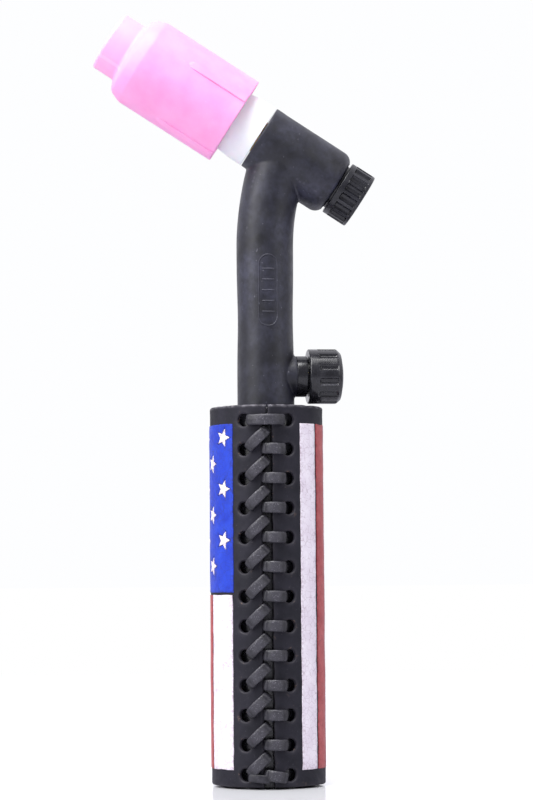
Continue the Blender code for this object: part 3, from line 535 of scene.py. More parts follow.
def ceramic_cup():
    """The gas-lens cup: a barrel with four moulded ribs, a shoulder, and a narrower outlet."""
    rear, mouth, _ = span("gas_cup", HEAD)
    neck = mouth - OUTLET_LENGTH
    socket = 10.4
    corners = [
        (OUTLET_RADIUS, mouth, 0.9), (OUTLET_RADIUS, neck, 1.1), (11.6, neck - 1.2, 2.4),
        (CUP_RADIUS, neck - SHOULDER_LENGTH, 3.0), (CUP_RADIUS, rear, 0.35),
        (socket, rear, 0.3), (socket, rear + 2.8, 0.2), (CUP_BORE, rear + 3.4, 0.2),
        (CUP_BORE, neck - 6.0, 1.5), (MOUTH_RADIUS, neck - 0.4, 1.5), (MOUTH_RADIUS, mouth, 0.7),
    ]

    def ribs(radius, height, angles):
        if radius < CUP_RADIUS - 0.3 or height > rear + RIB_LENGTH + 1.0:
            return 0.0 * angles
        beside = np.abs(from_mark(angles, RIBS, RIB_START)) * CUP_RADIUS
        end = rear + RIB_LENGTH - RIB_HALF_WIDTH
        from_middle = np.hypot(beside, max(0.0, height - end))
        side = 1.0 - ease(from_middle, RIB_HALF_WIDTH - 0.12, RIB_HALF_WIDTH + 0.10)
        fade = 1.0 - 0.5 * ease(height, end - 3.0, end + RIB_HALF_WIDTH)
        return RIB_HEIGHT * side * fade * ease(height, rear - 0.1, rear + 0.4)

    angles = around(RIBS, RIB_START, radians(7.0), 70)
    piece = lathe("ceramic_cup", corners, HEAD, ALUMINA, ribs, angles)
    install(piece, "gas_cup", "pink_ceramic", "gas_cup")


def ptfe_insulator():
    """The domed white ring between the head and the cup."""
    rear, front, _ = span("cup_insulator", HEAD)
    lip = 9.45
    dome = [
        (lip - 2.5 * (1.0 - cos(a)), rear + 1.0 + 11.6 * sin(a), 0.0)
        for a in map(radians, range(48, -1, -4))
    ]
    dome = [corner for corner in dome if corner[1] < front - 0.5]
    flats = [(lip, rear, 0.15), (5.1, rear, 0.1), (5.1, front, 0.3)]
    corners = [(dome[0][0] - 0.25, front, 0.2)] + dome + flats
    piece = lathe("ptfe_insulator", corners, HEAD, PTFE)
    install(piece, "front_insulator", "white_ptfe", "cup_insulator")


# ---------------- gas lens and electrode

THREAD_PITCH = 1.27


def thread(low, high, depth):
    """A relief for lathe: a helical thread cut into the outside between two heights."""

    def relief(radius, height, angles):
        turn = np.mod(height / THREAD_PITCH - angles / TURN, 1.0)
        groove = ease(np.abs(turn - 0.5), 0.12, 0.42)
        ends = ease(height, low, low + 0.5) * (1.0 - ease(height, high - 0.5, high))
        return -depth * (1.0 - groove) * ends

    return relief


def gas_lens():
    """The brass lens body with its two threads, the ring at its front, and its woven front screen."""
    rear, front, radius = span("gas_lens_body", HEAD)
    barrel_rear = 13.0
    shank = 4.7
    cut_barrel = thread(16.5, 28.4, 0.6)
    cut_shank = thread(rear, 0.6, 0.5)

    def threads(out, height, angles):
        if out > radius - 0.2:
            return cut_barrel(out, height, angles)
        if shank - 0.2 < out < shank + 0.1:
            return cut_shank(out, height, angles)
        return 0.0 * angles

    corners = [
        (radius, front, 0.3), (radius, barrel_rear, 0.3), (shank, barrel_rear, 0.15), (shank, rear, 0.3),
        (2.9, rear, 0.15), (2.9, 22.6, 0.2), (1.6, 24.6, 0.2), (1.6, 25.8, 0.1), (4.2, 25.8, 0.1),
        (4.2, 17.0, 0.3), (8.4, 17.0, 0.3), (8.4, front, 0.15),
    ]
    body = lathe("lens_body", corners, HEAD, BRASS, threads, step=0.12)
    install(body, "gas_lens", "brass", "gas_lens_body")

    low, high, outer = span("screen_retaining_ring", HEAD)
    inner = outer - 1.0
    corners = [(outer, high, 0.1), (outer, low, 0.1), (inner, low, 0.1), (inner, high, 0.25)]
    install(lathe("lens_ring", corners, HEAD, BRASS), "gas_lens", "brass", "screen_retaining_ring")
    woven_screen()


def woven_screen():
    """The front screen as plain woven wire, with a hole in its middle for the electrode."""
    low, high, outer = span("gas_lens_screen_front", HEAD)
    middle = (low + high) / 2.0
    wire = 0.085
    pitch = 0.42
    hole = 1.55
    sides = 6
    parts = []
    lines = int(outer / pitch)
    for across in (False, True):
        for line in range(-lines, lines + 1):
            offset = line * pitch
            half = sqrt(outer ** 2 - offset ** 2)
            inner = sqrt(hole ** 2 - offset ** 2) if abs(offset) < hole else 0.0
            runs = [(-half, -inner), (inner, half)] if inner else [(-half, half)]
            for start, end in runs:
                steps = max(2, ceil((end - start) / (pitch / 4.0)))
                rings = []
                for k in range(steps + 1):
                    along = start + (end - start) * k / steps
                    wave = cos(pi * (along / pitch + line)) * (-1.0 if across else 1.0)
                    ring = []
                    for side in range(sides):
                        angle = TURN * side / sides
                        beside = offset + wire * cos(angle)
                        height = middle + wave * wire + wire * sin(angle)
                        ring.append((beside, along, height) if across else (along, beside, height))
                    rings.append(ring)
                parts.append(loft(rings))
    piece = object_of("lens_front_mesh", *merged(parts), HEAD, STEEL, 80.0)
    install(piece, "gas_lens", "steel_mesh", "gas_lens_screen_front")


def electrode():
    """The tungsten electrode, ground to a tip at the front."""
    rear, tip, radius = span("electrode", HEAD)
    point = [(0.0, tip, 0.0), (0.2, tip, 0.05), (radius, tip - 5.5, 0.6)]
    corners = point + [(radius, rear, 0.15), (0.0, rear, 0.0)]
    piece = lathe("tungsten_electrode", corners, HEAD, TUNGSTEN)
    install(piece, "electrode", "tungsten", "electrode")


# ---------------- back cap

CAP_FLUTES = 16
CAP_FLUTE_START = radians(-89.0)


def flutes(count, start, half_width, depth, low, high, radius, margin=0.35):
    """A relief for lathe: rounded grooves along the outside between two heights."""

    def relief(out, height, angles):
        if out < radius - 0.6:
            return 0.0 * angles
        beside = np.abs(from_mark(angles, count, start)) * radius
        groove = np.clip(1.0 - (beside / half_width) ** 2, 0.0, None) ** 0.5
        return -depth * groove * ease(height, low, low + margin) * (1.0 - ease(height, high - margin, high))

    return relief


def back_cap():
    """The phenolic cap: smooth collar, fluted grip, and a threaded shank that holds the brass insert."""
    rear, front, radius = span("back_cap", HEAD)
    collar_front = -24.8
    collar_rear = collar_front - 1.5
    shank = 5.0
    grip = flutes(CAP_FLUTES, CAP_FLUTE_START, 1.15, 0.95, rear + 0.8, collar_rear, radius)
    cut_shank = thread(-22.4, front, 0.5)

    def relief(out, height, angles):
        if out > radius - 0.6:
            return grip(out, height, angles)
        if abs(out - shank) < 0.2:
            return cut_shank(out, height, angles)
        return 0.0 * angles

    corners = [
        (0.0, -30.9, 0.0), (3.2, -30.9, 0.2), (3.2, front, 0.2),
        (shank, front, 0.3), (shank, collar_front + 0.6, 0.2), (6.6, collar_front + 0.6, 0.1),
        (6.6, collar_front, 0.1), (radius - 0.05, collar_front, 0.25), (radius - 0.05, collar_rear, 0.1),
        (radius, collar_rear - 0.15, 0.1), (radius, rear, 0.35), (0.0, rear, 0.0),
    ]
    angles = around(CAP_FLUTES, CAP_FLUTE_START, 1.2 / radius, 17)
    piece = lathe("phenolic_back_cap", corners, HEAD, CAP_PHENOLIC, relief, angles, step=0.15)
    install(piece, "back_cap", "phenolic", "back_cap")


def o_ring(name, node, home, body):
    """A seal of round section."""
    low, high, outer = span(node, home)
    half = (high - low) / 2.0
    inner = outer - 2.0 * half
    corners = [(r, z, 0.98 * half) for r, z in ((outer, high), (outer, low), (inner, low), (inner, high))]
    install(lathe(name, corners, home, SEAL), body, "seal", node)


# ---------------- valve

KNOB_FLUTES = 12


def valve_trim():
    """The bonnet ring, the fluted knob, and the domed cap in the knob's end."""
    low, high, radius = span("valve_bonnet", VALVE)
    corners = [
        (radius, high, 0.35), (radius, low - 0.3, 0.05), (3.4, low - 0.3, 0.05),
        (3.4, high + 0.2, 0.05), (5.0, high + 0.2, 0.05), (5.0, high, 0.05),
    ]
    install(lathe("bonnet_ring", corners, VALVE, PHENOLIC), "torch_body", "phenolic", "valve_bonnet")

    low, high, radius = span("valve_knob", VALVE)
    collar_end = low + 2.5
    recess = 6.0
    start = radians(180.0 / KNOB_FLUTES)
    relief = flutes(KNOB_FLUTES, start, 0.95, 0.6, collar_end, high - 0.9, radius, 0.6)
    corners = [
        (radius - 1.1, high, 0.5), (radius, high - 1.2, 0.8), (radius, low, 0.4),
        (2.3, low, 0.1), (2.3, 17.1, 0.1), (3.4, 17.1, 0.1),
        (3.4, high - 1.2, 0.1), (recess, high - 1.2, 0.1), (recess, high, 0.15),
    ]
    angles = around(KNOB_FLUTES, start, 1.0 / radius, 17)
    piece = lathe("fluted_knob", corners, VALVE, PHENOLIC, relief, angles, step=0.2)
    install(piece, "valve_knob", "phenolic", "valve_knob")

    low, high, radius = span("valve_knob_cap", VALVE)
    dome = [(radius * sin(a), high - 1.0 + cos(a), 0.0) for a in np.linspace(0.0, 1.45, 14)]
    corners = dome + [(radius, high - 1.0, 0.0), (radius, low, 0.1), (0.0, low, 0.0)]
    install(lathe("knob_end_cap", corners, VALVE, PHENOLIC), "valve_knob", "phenolic", "valve_knob_cap")


# ---------------- rubber jacket

NECK_RADIUS = 8.0
NECK_BEND_RADIUS = 74.0
NECK_BEND_START = 150.0
HEAD_FRONT = 1.6
HEAD_REAR = -24.4
HEAD_RADIUS = 9.4
PLUG_RADIUS = 10.9
PLUG_BOTTOM = 70.0
PLUG_TOP = 103.8
VALVE_HEIGHT = VALVE.translation.z / MM
HEAD_HEIGHT = HEAD.translation.z / MM
HEAD_SLOPE = -HEAD.to_3x3().col[2].z / HEAD.to_3x3().col[2].x


def neck_point(height):
    """The neck's centre at this height, and its direction: straight, then an arc that leans to +X."""
    angle = asin(max(0.0, height - NECK_BEND_START) / NECK_BEND_RADIUS)
    centre = Vector((NECK_BEND_RADIUS * (1.0 - cos(angle)), 0.0, height))
    return centre, Vector((sin(angle), 0.0, cos(angle)))


def where_neck_meets_head():
    """The height at which the neck's centre line meets the head's axis."""
    height = NECK_BEND_START
    while height < HEAD_HEIGHT - HEAD_SLOPE * neck_point(height)[0].x:
        height += 0.1
    return height


NECK_TOP = where_neck_meets_head()


def neck_solid(name, low, high, radius_at, sides=96):
    """A round bar along the neck's centre line."""
    rings = []
    for height in np.linspace(low, high, max(2, ceil((high - low) / 0.8))):
        centre, along = neck_point(height)
        side = Vector((0.0, 1.0, 0.0))
        out = side.cross(along)
        radius = radius_at(height)
        ring = []
        for angle in even_angles(sides):
            ring.append(centre + radius * (cos(angle) * out + sin(angle) * side))
        rings.append(ring)
    return object_of(name, *loft(rings), HANDLE, RUBBER)


def neck_radius(height):
    """The neck swells a little at the valve and towards the head, and has a slight waist between them."""
    waist = 0.25 * exp(-(((height - 130.0) / 9.0) ** 2))
    return NECK_RADIUS - waist + 0.35 * float(ease(height, 158.0, 178.0))


def plain_bar(name, home, radius, low, high, rounding=0.0):
    corners = [(0.0, high, 0.0), (radius, high, rounding), (radius, low, rounding), (0.0, low, 0.0)]
    return lathe(name, corners, home, RUBBER)


def rubber_jacket():
    """The moulded body: head, bent neck, valve boss and plug, blended, and bored for its metal."""
    lip = HEAD_RADIUS + 0.1
    corners = [
        (0.0, HEAD_FRONT, 0.0), (lip, HEAD_FRONT, 0.2), (lip, HEAD_FRONT - 1.2, 0.3),
        (HEAD_RADIUS, HEAD_FRONT - 4.0, 0.0), (HEAD_RADIUS, HEAD_REAR, 3.2), (0.0, HEAD_REAR, 0.0),
    ]
    jacket = lathe("rubber_jacket", corners, HEAD, RUBBER)
    jacket.data.transform(HANDLE.inverted() @ HEAD)
    jacket.matrix_world = HANDLE
    boolean(jacket, neck_solid("neck", PLUG_TOP - 2.0, NECK_TOP, neck_radius), "UNION")
    boolean(jacket, plain_bar("plug", HANDLE, PLUG_RADIUS, PLUG_BOTTOM, PLUG_TOP, 0.8), "UNION")
    boolean(jacket, plain_bar("boss", VALVE, 5.8, 0.0, 8.5, 0.3), "UNION")
    boolean(jacket, plain_bar("sleeve_room", HEAD, 7.3, HEAD_REAR - 10.0, HEAD_FRONT + 10.0), "DIFFERENCE")
    boolean(jacket, neck_solid("copper_room", PLUG_BOTTOM - 10.0, NECK_TOP, lambda _: 4.5, 40), "DIFFERENCE")
    block = plain_bar("block_room", HANDLE, 6.5, VALVE_HEIGHT - 7.3, VALVE_HEIGHT + 7.3)
    boolean(jacket, block, "DIFFERENCE")
    boolean(jacket, plain_bar("port_room", VALVE, 4.9, 0.0, 14.0), "DIFFERENCE")
    blended(jacket)
    install(jacket, "torch_body", "jacket_rubber", "torch_jacket")


def blended(jacket):
    """Rounds the line where the neck meets the head, as a moulding's is, and leaves the rest crisp."""
    skin = jacket.modifiers.new("skin", "REMESH")
    skin.mode = "VOXEL"
    skin.voxel_size = 0.3 * MM
    modified(jacket)
    to_head = HEAD.inverted() @ HANDLE
    group = jacket.vertex_groups.new(name="joint_line")
    for vertex in jacket.data.vertices:
        on_head = to_head @ vertex.co / MM
        head_gap = abs(hypot(on_head.x, on_head.y) - HEAD_RADIUS)
        centre, _ = neck_point(min(vertex.co.z / MM, NECK_TOP))
        neck_gap = abs((vertex.co / MM - centre).length - neck_radius(vertex.co.z / MM))
        below = on_head.x < 0.0 and vertex.co.z / MM > NECK_BEND_START - 10.0
        near = 1.0 - ease(max(head_gap, neck_gap), 0.5, 1.8)
        group.add([vertex.index], float(near) if below else 0.0, "REPLACE")
    local = jacket.modifiers.new("fillet", "SMOOTH")
    local.vertex_group = group.name
    local.factor = 0.5
    local.iterations = 6
    even = jacket.modifiers.new("even", "SMOOTH")
    even.factor = 0.5
    even.iterations = 1
    modified(jacket)
    jacket.vertex_groups.clear()
    jacket.data.shade_smooth()
    jacket.data.materials.clear()
    jacket.data.materials.append(RUBBER)


def mould_mark():
    """A plain raised outline with short cross ribs on the neck's front, as a moulding tool leaves."""
    low = 127.5
    high = 147.5
    half_width = 2.6
    path = []
    for middle, first in ((high - half_width, 0), (low + half_width, 180)):
        for angle in map(radians, range(first, first + 181, 15)):
            path.append(Vector((half_width * cos(angle), middle + half_width * sin(angle))))
    parts = [raised_line(dense(path, 0.8, True), True)]
    reach = half_width - 0.9
    for rib in range(5):
        z = low + 4.0 + 3.0 * rib
        parts.append(raised_line([Vector((across, z)) for across in (-reach, 0.0, reach)], False))
    piece = object_of("neck_mould_mark", *merged(parts), HANDLE, RUBBER, 80.0)
    install(piece, "torch_body", "jacket_rubber")


def raised_line(points, closed):
    """A thin round line that lies half sunk in the neck's front. Points are (across, height)."""
    section = 0.22
    sides = 8
    rings = []
    count = len(points)
    for i, point in enumerate(points):
        before = points[i - 1] if closed or i else point
        after = points[(i + 1) % count] if closed or i < count - 1 else point
        direction = (after - before).normalized()
        beside = Vector((-direction.y, direction.x))
        radius = neck_radius(point.y) - 0.05
        ring = []
        for side in range(sides):
            angle = TURN * side / sides
            spot = point + section * cos(angle) * beside
            out = radius + section * sin(angle)
            turn = spot.x / radius
            ring.append((out * sin(turn), -out * cos(turn), spot.y))
        rings.append(ring)
    return loft(rings, closed)


# ---------------- handle tube and cable stud


def handle_tube():
    """The hard tube under the leather, with the cable's way out in its end wall."""
    low, high, radius = span("handle_tube", HANDLE)
    corners = [
        (radius, high, 0.4), (radius, low, 0.4), (8.5, low, 0.3),
        (8.5, low + 3.0, 0.3), (11.2, low + 3.0, 0.4), (11.2, high, 0.3),
    ]
    install(lathe("tube_core", corners, HANDLE, PHENOLIC), "handle", "phenolic", "handle_tube")


# ---------------- sheets of leather and paint

WRAP_RADIUS = 15.85
WRAP_INNER = 13.45
SKIVED_INNER = 14.75
PAINT_TOP = 16.0
ARC_RADIUS = 16.0
ROUND = TURN * ARC_RADIUS


def on_wrap(s, z, radius):
    """The point at this arc length from the seam's middle, positive to +X, at a height and a radius."""
    angle = s / ARC_RADIUS
    return radius * sin(angle), -radius * cos(angle), z


def distances(points, loops):
    """Each point's distance to the nearest loop edge, and whether it is inside the loops (even-odd rule)."""
    nearest = np.full(len(points), 1e9)
    inside = np.zeros(len(points), bool)
    x, y = points[:, 0], points[:, 1]
    for loop in loops:
        ends = np.roll(loop, -1, axis=0)
        for (ax, ay), (bx, by) in zip(loop, ends):
            dx, dy = bx - ax, by - ay
            t = np.clip(((x - ax) * dx + (y - ay) * dy) / (dx * dx + dy * dy), 0.0, 1.0)
            nearest = np.minimum(nearest, np.hypot(x - ax - t * dx, y - ay - t * dy))
            if ay != by:
                inside ^= ((ay > y) != (by > y)) & (x < ax + (y - ay) * dx / dy)
    return nearest, inside


def ring_inside(loop, distance):
    """The loop's points moved this far to its left, which is into the material."""
    along = np.roll(loop, -1, axis=0) - np.roll(loop, 1, axis=0)
    along /= np.linalg.norm(along, axis=1)[:, None]
    return loop + distance * np.stack([-along[:, 1], along[:, 0]], axis=1)


def sheet(outer, holes, top, bottom, rounding, spacing, relief=None):
    """(vertices, faces, edge distances) of a sheet wrapped on the handle.

    outer runs anticlockwise and the holes clockwise, as arrays of (arc length, height). top and bottom give
    the radius of each face: bottom is a function of arc length. The outer face's edges are rounded over.
    """
    loops = [outer] + holes
    steps = rounding * np.array([0.12, 0.35, 0.7, 1.0])
    rings = np.concatenate([ring_inside(loop, step) for loop in loops for step in steps])
    reach, inside = distances(rings, loops)
    rings = rings[inside & (reach > 0.08 * rounding)]
    low, high = outer.min(axis=0), outer.max(axis=0)
    rows = enumerate(np.arange(low[1], high[1], spacing * 0.87))
    across = np.arange(low[0], high[0], spacing)
    grid = np.array([(s + (i % 2) * spacing / 2.0, z) for i, z in rows for s in across])
    reach, inside = distances(grid, loops)
    grid = grid[inside & (reach > rounding + 0.3 * spacing)]
    flat = [Vector(p) for p in np.concatenate(loops + [rings, grid])]
    edges = []
    start = 0
    for loop in loops:
        edges += [(start + i, start + (i + 1) % len(loop)) for i in range(len(loop))]
        start += len(loop)
    points, _, triangles, *_ = geometry.delaunay_2d_cdt(flat, edges, [], 1, 1e-5)
    points, triangles = np.array(points), np.array(triangles)
    _, inside = distances(points[triangles].mean(axis=1), loops)
    triangles = triangles[inside]
    used, triangles = np.unique(triangles, return_inverse=True)
    triangles = triangles.reshape(-1, 3)
    points = points[used]
    reach, _ = distances(points, loops)
    into_edge = np.clip(rounding - reach, 0.0, rounding)
    drop = rounding - np.sqrt(rounding ** 2 - into_edge ** 2)
    rise = [relief(s, z) if relief else 0.0 for s, z in points]
    outside = [on_wrap(s, z, top - d + r) for (s, z), d, r in zip(points, drop, rise)]
    under = [on_wrap(s, z, bottom(s)) for s, z in points]
    count = len(points)
    faces = [tuple(t) for t in triangles] + [tuple(t[::-1] + count) for t in triangles]
    sides = {}
    for a, b, c in triangles:
        for pair in ((a, b), (b, c), (c, a)):
            sides[pair] = pair[::-1] not in sides
            if not sides[pair]:
                sides[pair[::-1]] = False
    faces += [(b, a, a + count, b + count) for (a, b), open_side in sides.items() if open_side]
    return outside + under, faces, list(reach) * 2


def set_attribute(piece, name, values):
    """Gives each vertex of the piece a value that its material reads."""
    piece.data.attributes.new(name, "FLOAT", "POINT").data.foreach_set("value", values.astype(np.float32))


def wrapped(name, parts, finish, rim_reach):
    """One object of several sheets, with the attribute rim: 1 at a cut edge, fading out over rim_reach."""
    made = object_of(name, *merged([(vertices, faces) for vertices, faces, _ in parts]), LACING, finish, 50.0)
    reach = np.concatenate([np.array(reach) for _, _, reach in parts])
    set_attribute(made, "rim", 1.0 - ease(reach, 0.0, rim_reach))
    return made


def hand_cut(corners, spacing, waver, seed):
    """A closed outline through the corners, with points every spacing and a slight hand-cut waver."""
    points = dense([Vector(corner) for corner in corners], spacing, True)
    seeds = np.array([seed, seed + 9.0])
    return np.array([
        [here + waver * noise.noise((s / 3.0, z / 3.0, shift)) for here, shift in zip((s, z), seeds)]
        for s, z in points
    ])


# ---------------- leather wrap

LACE_ROWS = 13
TOP_ROW = 100.75
ROW_PITCH = 8.07
LEFT_HOLES = -6.6
RIGHT_HOLES = 6.35
HOLE_RADIUS = 1.75
SEAM_LEFT = -1.2
SEAM_RIGHT = 1.6
SEAM_MEETS = 0.2


def row_height(row):
    return TOP_ROW - row * ROW_PITCH


def punched_hole(s, z):
    """A round hole's outline, clockwise."""
    angles = -even_angles(28)
    return np.stack([s + HOLE_RADIUS * np.cos(angles), z + HOLE_RADIUS * np.sin(angles)], axis=1)


def wrap_inner(s):
    """The leather is skived thin beside the seam, where the lace runs under it."""
    from_seam = min(s, ROUND - s)
    return SKIVED_INNER - (SKIVED_INNER - WRAP_INNER) * float(ease(from_seam, 8.5, 10.5))


def leather_wrap():
    """One sheet of leather round the tube, its two edges facing each other across the laced seam."""
    low, high, _ = span("leather_wrap", HANDLE)
    closed = TOP_ROW + 1.2
    near = SEAM_MEETS + 0.25
    far = ROUND + SEAM_MEETS - 0.25
    corners = [
        (SEAM_RIGHT, low), (ROUND + SEAM_LEFT, low), (ROUND + SEAM_LEFT, closed - 1.0), (far, closed),
        (far, high), (near, high), (near, closed), (SEAM_RIGHT, closed - 1.0),
    ]
    outer = hand_cut(corners, 0.7, 0.22, 3.0)
    outer[:, 1] = np.clip(outer[:, 1], low, high)
    holes = []
    for row in range(LACE_ROWS):
        z = row_height(row)
        holes += [punched_hole(RIGHT_HOLES, z), punched_hole(ROUND + LEFT_HOLES, z)]

    def relief(s, z):
        waves = 0.10 * noise.noise((s / 7.0, z / 7.0, 1.0))
        return waves + 0.05 * noise.noise((s / 1.6, z / 1.6, 5.0)) - 0.05

    part = sheet(outer, holes, WRAP_RADIUS, wrap_inner, 0.55, 1.0, relief)
    piece = wrapped("leather_sheet", [part], LEATHER, 0.9)
    install(piece, "handle", "wrap_leather", "leather_wrap")


# ---------------- painted stars and stripes

PAINT_LOW = 5.1
PAINT_HIGH = 99.9
BAND_HALF_ANGLE = 35.8
STRIPE_EDGES = [34.5] + list(np.linspace(58.5, 287.6, 10)) + [360.0 - BAND_HALF_ANGLE]
CANTON_LOW = 53.5
CANTON_ANGLE = 153.0
CUT_LINE = 0.7
STAR_ROWS = 7
STAR_SPACING = 21.8
STAR_FIRST = 13.0
STAR_RADIUS = 2.6
STAR_PITCH = 14.15


def arc_length(angle):
    return radians(angle) * ARC_RADIUS


def painted_patch(start, end, low, high, seed, holes=()):
    """A painted area between two arc lengths and two heights, hand cut, with its paint a little proud."""
    outer = hand_cut([(start, low), (end, low), (end, high), (start, high)], 0.9, 0.16, seed)
    return sheet(outer, list(holes), PAINT_TOP, under_paint, 0.16, 1.5, paint_relief)


def under_paint(_):
    return WRAP_RADIUS - 0.30


def paint_relief(s, z):
    return 0.08 * noise.noise((s / 7.0, z / 7.0, 1.0)) + 0.035 * noise.noise((s / 1.1, z / 1.1, 2.0)) - 0.03


def star_outline(s, z, radius, clockwise):
    """A five-pointed star with one point towards the laced band."""
    corners = []
    for k in range(10):
        angle = pi * k / 5.0
        reach = radius if k % 2 == 0 else radius * 0.45
        corners.append(Vector((s + reach * cos(angle), z + reach * sin(angle))))
    points = np.array(dense(corners, 0.5, True))
    return points[::-1] if clockwise else points


def star_places():
    """(arc length, height) of each star: rows that step round from the laced band, staggered."""
    places = []
    for row in range(STAR_ROWS):
        s = ROUND - arc_length(BAND_HALF_ANGLE + STAR_FIRST + STAR_SPACING * row)
        top = PAINT_HIGH - 3.8 - (STAR_PITCH / 2.0 if row % 2 else 0.0)
        places += [(s, top - STAR_PITCH * k) for k in range(3)]
    return places


def painted_flag():
    """Alternate white and red stripes down the handle, and a blue field with white stars."""
    canton_end = ROUND - arc_length(BAND_HALF_ANGLE)
    canton_start = canton_end - arc_length(CANTON_ANGLE)
    below_canton = CANTON_LOW - CUT_LINE
    stripes = {"white": [], "red": []}
    for i, (first, last) in enumerate(zip(STRIPE_EDGES, STRIPE_EDGES[1:])):
        start = arc_length(first) + CUT_LINE / 2.0
        end = arc_length(last) - CUT_LINE / 2.0
        areas = [(end, PAINT_LOW, PAINT_HIGH, 20.0 + i)]
        if end >= canton_start:
            beside_canton = (canton_start - CUT_LINE, below_canton, PAINT_HIGH, 20.0 + i)
            areas = [(end, PAINT_LOW, below_canton, 40.0 + i), beside_canton]
        wide_enough = [area for area in areas if area[0] - start > 1.0]
        stripes["red" if i % 2 else "white"] += [painted_patch(start, *area) for area in wide_enough]
    for colour, finish in (("white", WHITE), ("red", RED)):
        piece = wrapped(f"{colour}_stripes", stripes[colour], finish, 0.7)
        install(piece, "handle", "wrap_leather")
    places = star_places()
    cut_outs = [star_outline(s, z, STAR_RADIUS + 0.35, True) for s, z in places]
    canton = painted_patch(canton_start, canton_end, CANTON_LOW, PAINT_HIGH, 60.0, cut_outs)
    install(wrapped("blue_field", [canton], BLUE, 0.6), "handle", "wrap_leather")
    outlines = [star_outline(s, z, STAR_RADIUS, False) for s, z in places]
    stars = [sheet(star, [], PAINT_TOP, under_paint, 0.12, 0.9) for star in outlines]
    install(wrapped("white_stars", stars, WHITE, 0.4), "handle", "wrap_leather")


# ---------------- lacing

LACE_THICKNESS = 1.15
LACE_RISE = 5.2
HOLE_DEPTH = 2.4


def strand_path(length, crown, sinks):
    """(distance along, radius) of a strand: up out of the leather, over in a low arch, and down again."""
    bend = 0.95
    flat = WRAP_RADIUS + LACE_THICKNESS / 2.0 + 0.12
    low = flat - bend
    quarter = np.linspace(0.0, pi / 2.0, 9)
    path = [(0.0, low - sinks[0]), (0.0, low - sinks[0] / 2.0)]
    path += [(bend - bend * cos(t), low + bend * sin(t)) for t in quarter]
    for t in np.linspace(0.0, 1.0, 14)[1:-1]:
        path.append((bend + (length - 2.0 * bend) * t, flat + crown * sin(pi * t) ** 0.8))
    path += [(length - bend + bend * sin(t), low + bend * cos(t)) for t in quarter]
    return path + [(length, low - sinks[1] / 2.0), (length, low - sinks[1])]


def strand(start, end, seed, crown, width, sinks):
    """A length of lace that comes up at start and goes down at end, both (arc length, height)."""
    a, b = Vector(start), Vector(end)
    along = (b - a).normalized()
    path = strand_path((b - a).length, crown, sinks)
    middles = []
    for travel, radius in path:
        spot = a + along * travel
        middles.append(Vector(on_wrap(spot.x, spot.y, radius)))
    sides = 28
    last = len(middles) - 1
    rings = []
    for i, middle in enumerate(middles):
        travel = path[i][0]
        tangent = (middles[min(i + 1, last)] - middles[max(i - 1, 0)]).normalized()
        angle = (a + along * travel).x / ARC_RADIUS
        across = Vector((-along.y * cos(angle), -along.y * sin(angle), along.x))
        across = (across - across.dot(tangent) * tangent).normalized()
        out = across.cross(tangent)
        pinch = 1.0 - 0.16 * (1.0 - float(ease(i / last, 0.0, 0.3))) - 0.16 * float(ease(i / last, 0.7, 1.0))
        ring = []
        for k in range(sides):
            turn = TURN * k / sides
            c, s = cos(turn), sin(turn)
            wide = copysign(abs(c) ** 0.55, c) * width / 2.0 * pinch
            thick = copysign(abs(s) ** 0.6, s) * LACE_THICKNESS / 2.0
            crease = 0.07 * noise.noise((travel / 2.2, wide / 1.1, seed)) if thick > 0.0 else 0.0
            edge = 0.06 * noise.noise((travel / 1.3, seed, 4.0 if c > 0.0 else 7.0)) * c
            ring.append(middle + across * (wide + edge) + out * (thick + crease))
        rings.append(ring)
    return loft(rings)


def lacing():
    """The lace: a straight strand at the top, then slants on the left and short strands on the right."""
    slant_sinks = (HOLE_DEPTH, 2.0)
    top = row_height(0)
    last = row_height(LACE_ROWS - 1)
    parts = [strand((-5.15, top), (4.85, top + 0.05), 1.0, 0.75, 3.0, (HOLE_DEPTH, HOLE_DEPTH))]
    for row in range(1, LACE_ROWS):
        z = row_height(row)
        vary = 0.25 * noise.noise((row * 1.7, 3.0, 8.0))
        tilt = -0.8 if row == LACE_ROWS - 1 else vary
        slant_end = (-0.1 + vary, z + LACE_RISE)
        parts.append(strand((-5.0 + vary, z + 0.25), slant_end, 10.0 + row, 0.75, 3.05, slant_sinks))
        short_end = (4.95 + vary, z + tilt)
        parts.append(strand((-0.85, z + 0.2), short_end, 40.0 + row, 0.70, 3.1, slant_sinks[::-1]))
    parts.append(strand((-5.2, last - 0.55), (0.4, last - 1.15), 70.0, 0.25, 2.3, slant_sinks))
    piece = object_of("leather_lace", *merged(parts), LACING, LACE, 60.0)
    heights = np.array([hypot(v.co.x, v.co.y) / MM for v in piece.data.vertices])
    surface = WRAP_RADIUS + LACE_THICKNESS
    set_attribute(piece, "crown", ease(heights, surface, surface + 0.8))
    install(piece, "handle", "lace_leather", "lace")


# ---------------- CAD nodes that stay

KEPT = (
    ("brass", BRASS, ("head_sleeve", "valve_block", "tail_fitting")),
    ("brass", BRASS, ("valve_stem", "knob_screw", "back_cap_insert")),
    ("copper", COPPER, ("neck_tube", "tail_tube", "collet")),
    ("steel_mesh", STEEL, ("gas_lens_screen_rear", "gas_lens_screen_middle")),
)


def keep_cad_nodes():
    for slot, finish, nodes in KEPT:
        for obj in [frame["nodes"][node] for node in nodes]:
            obj.data.materials.clear()
            obj.data.materials.append(finish)


# ---------------- studio


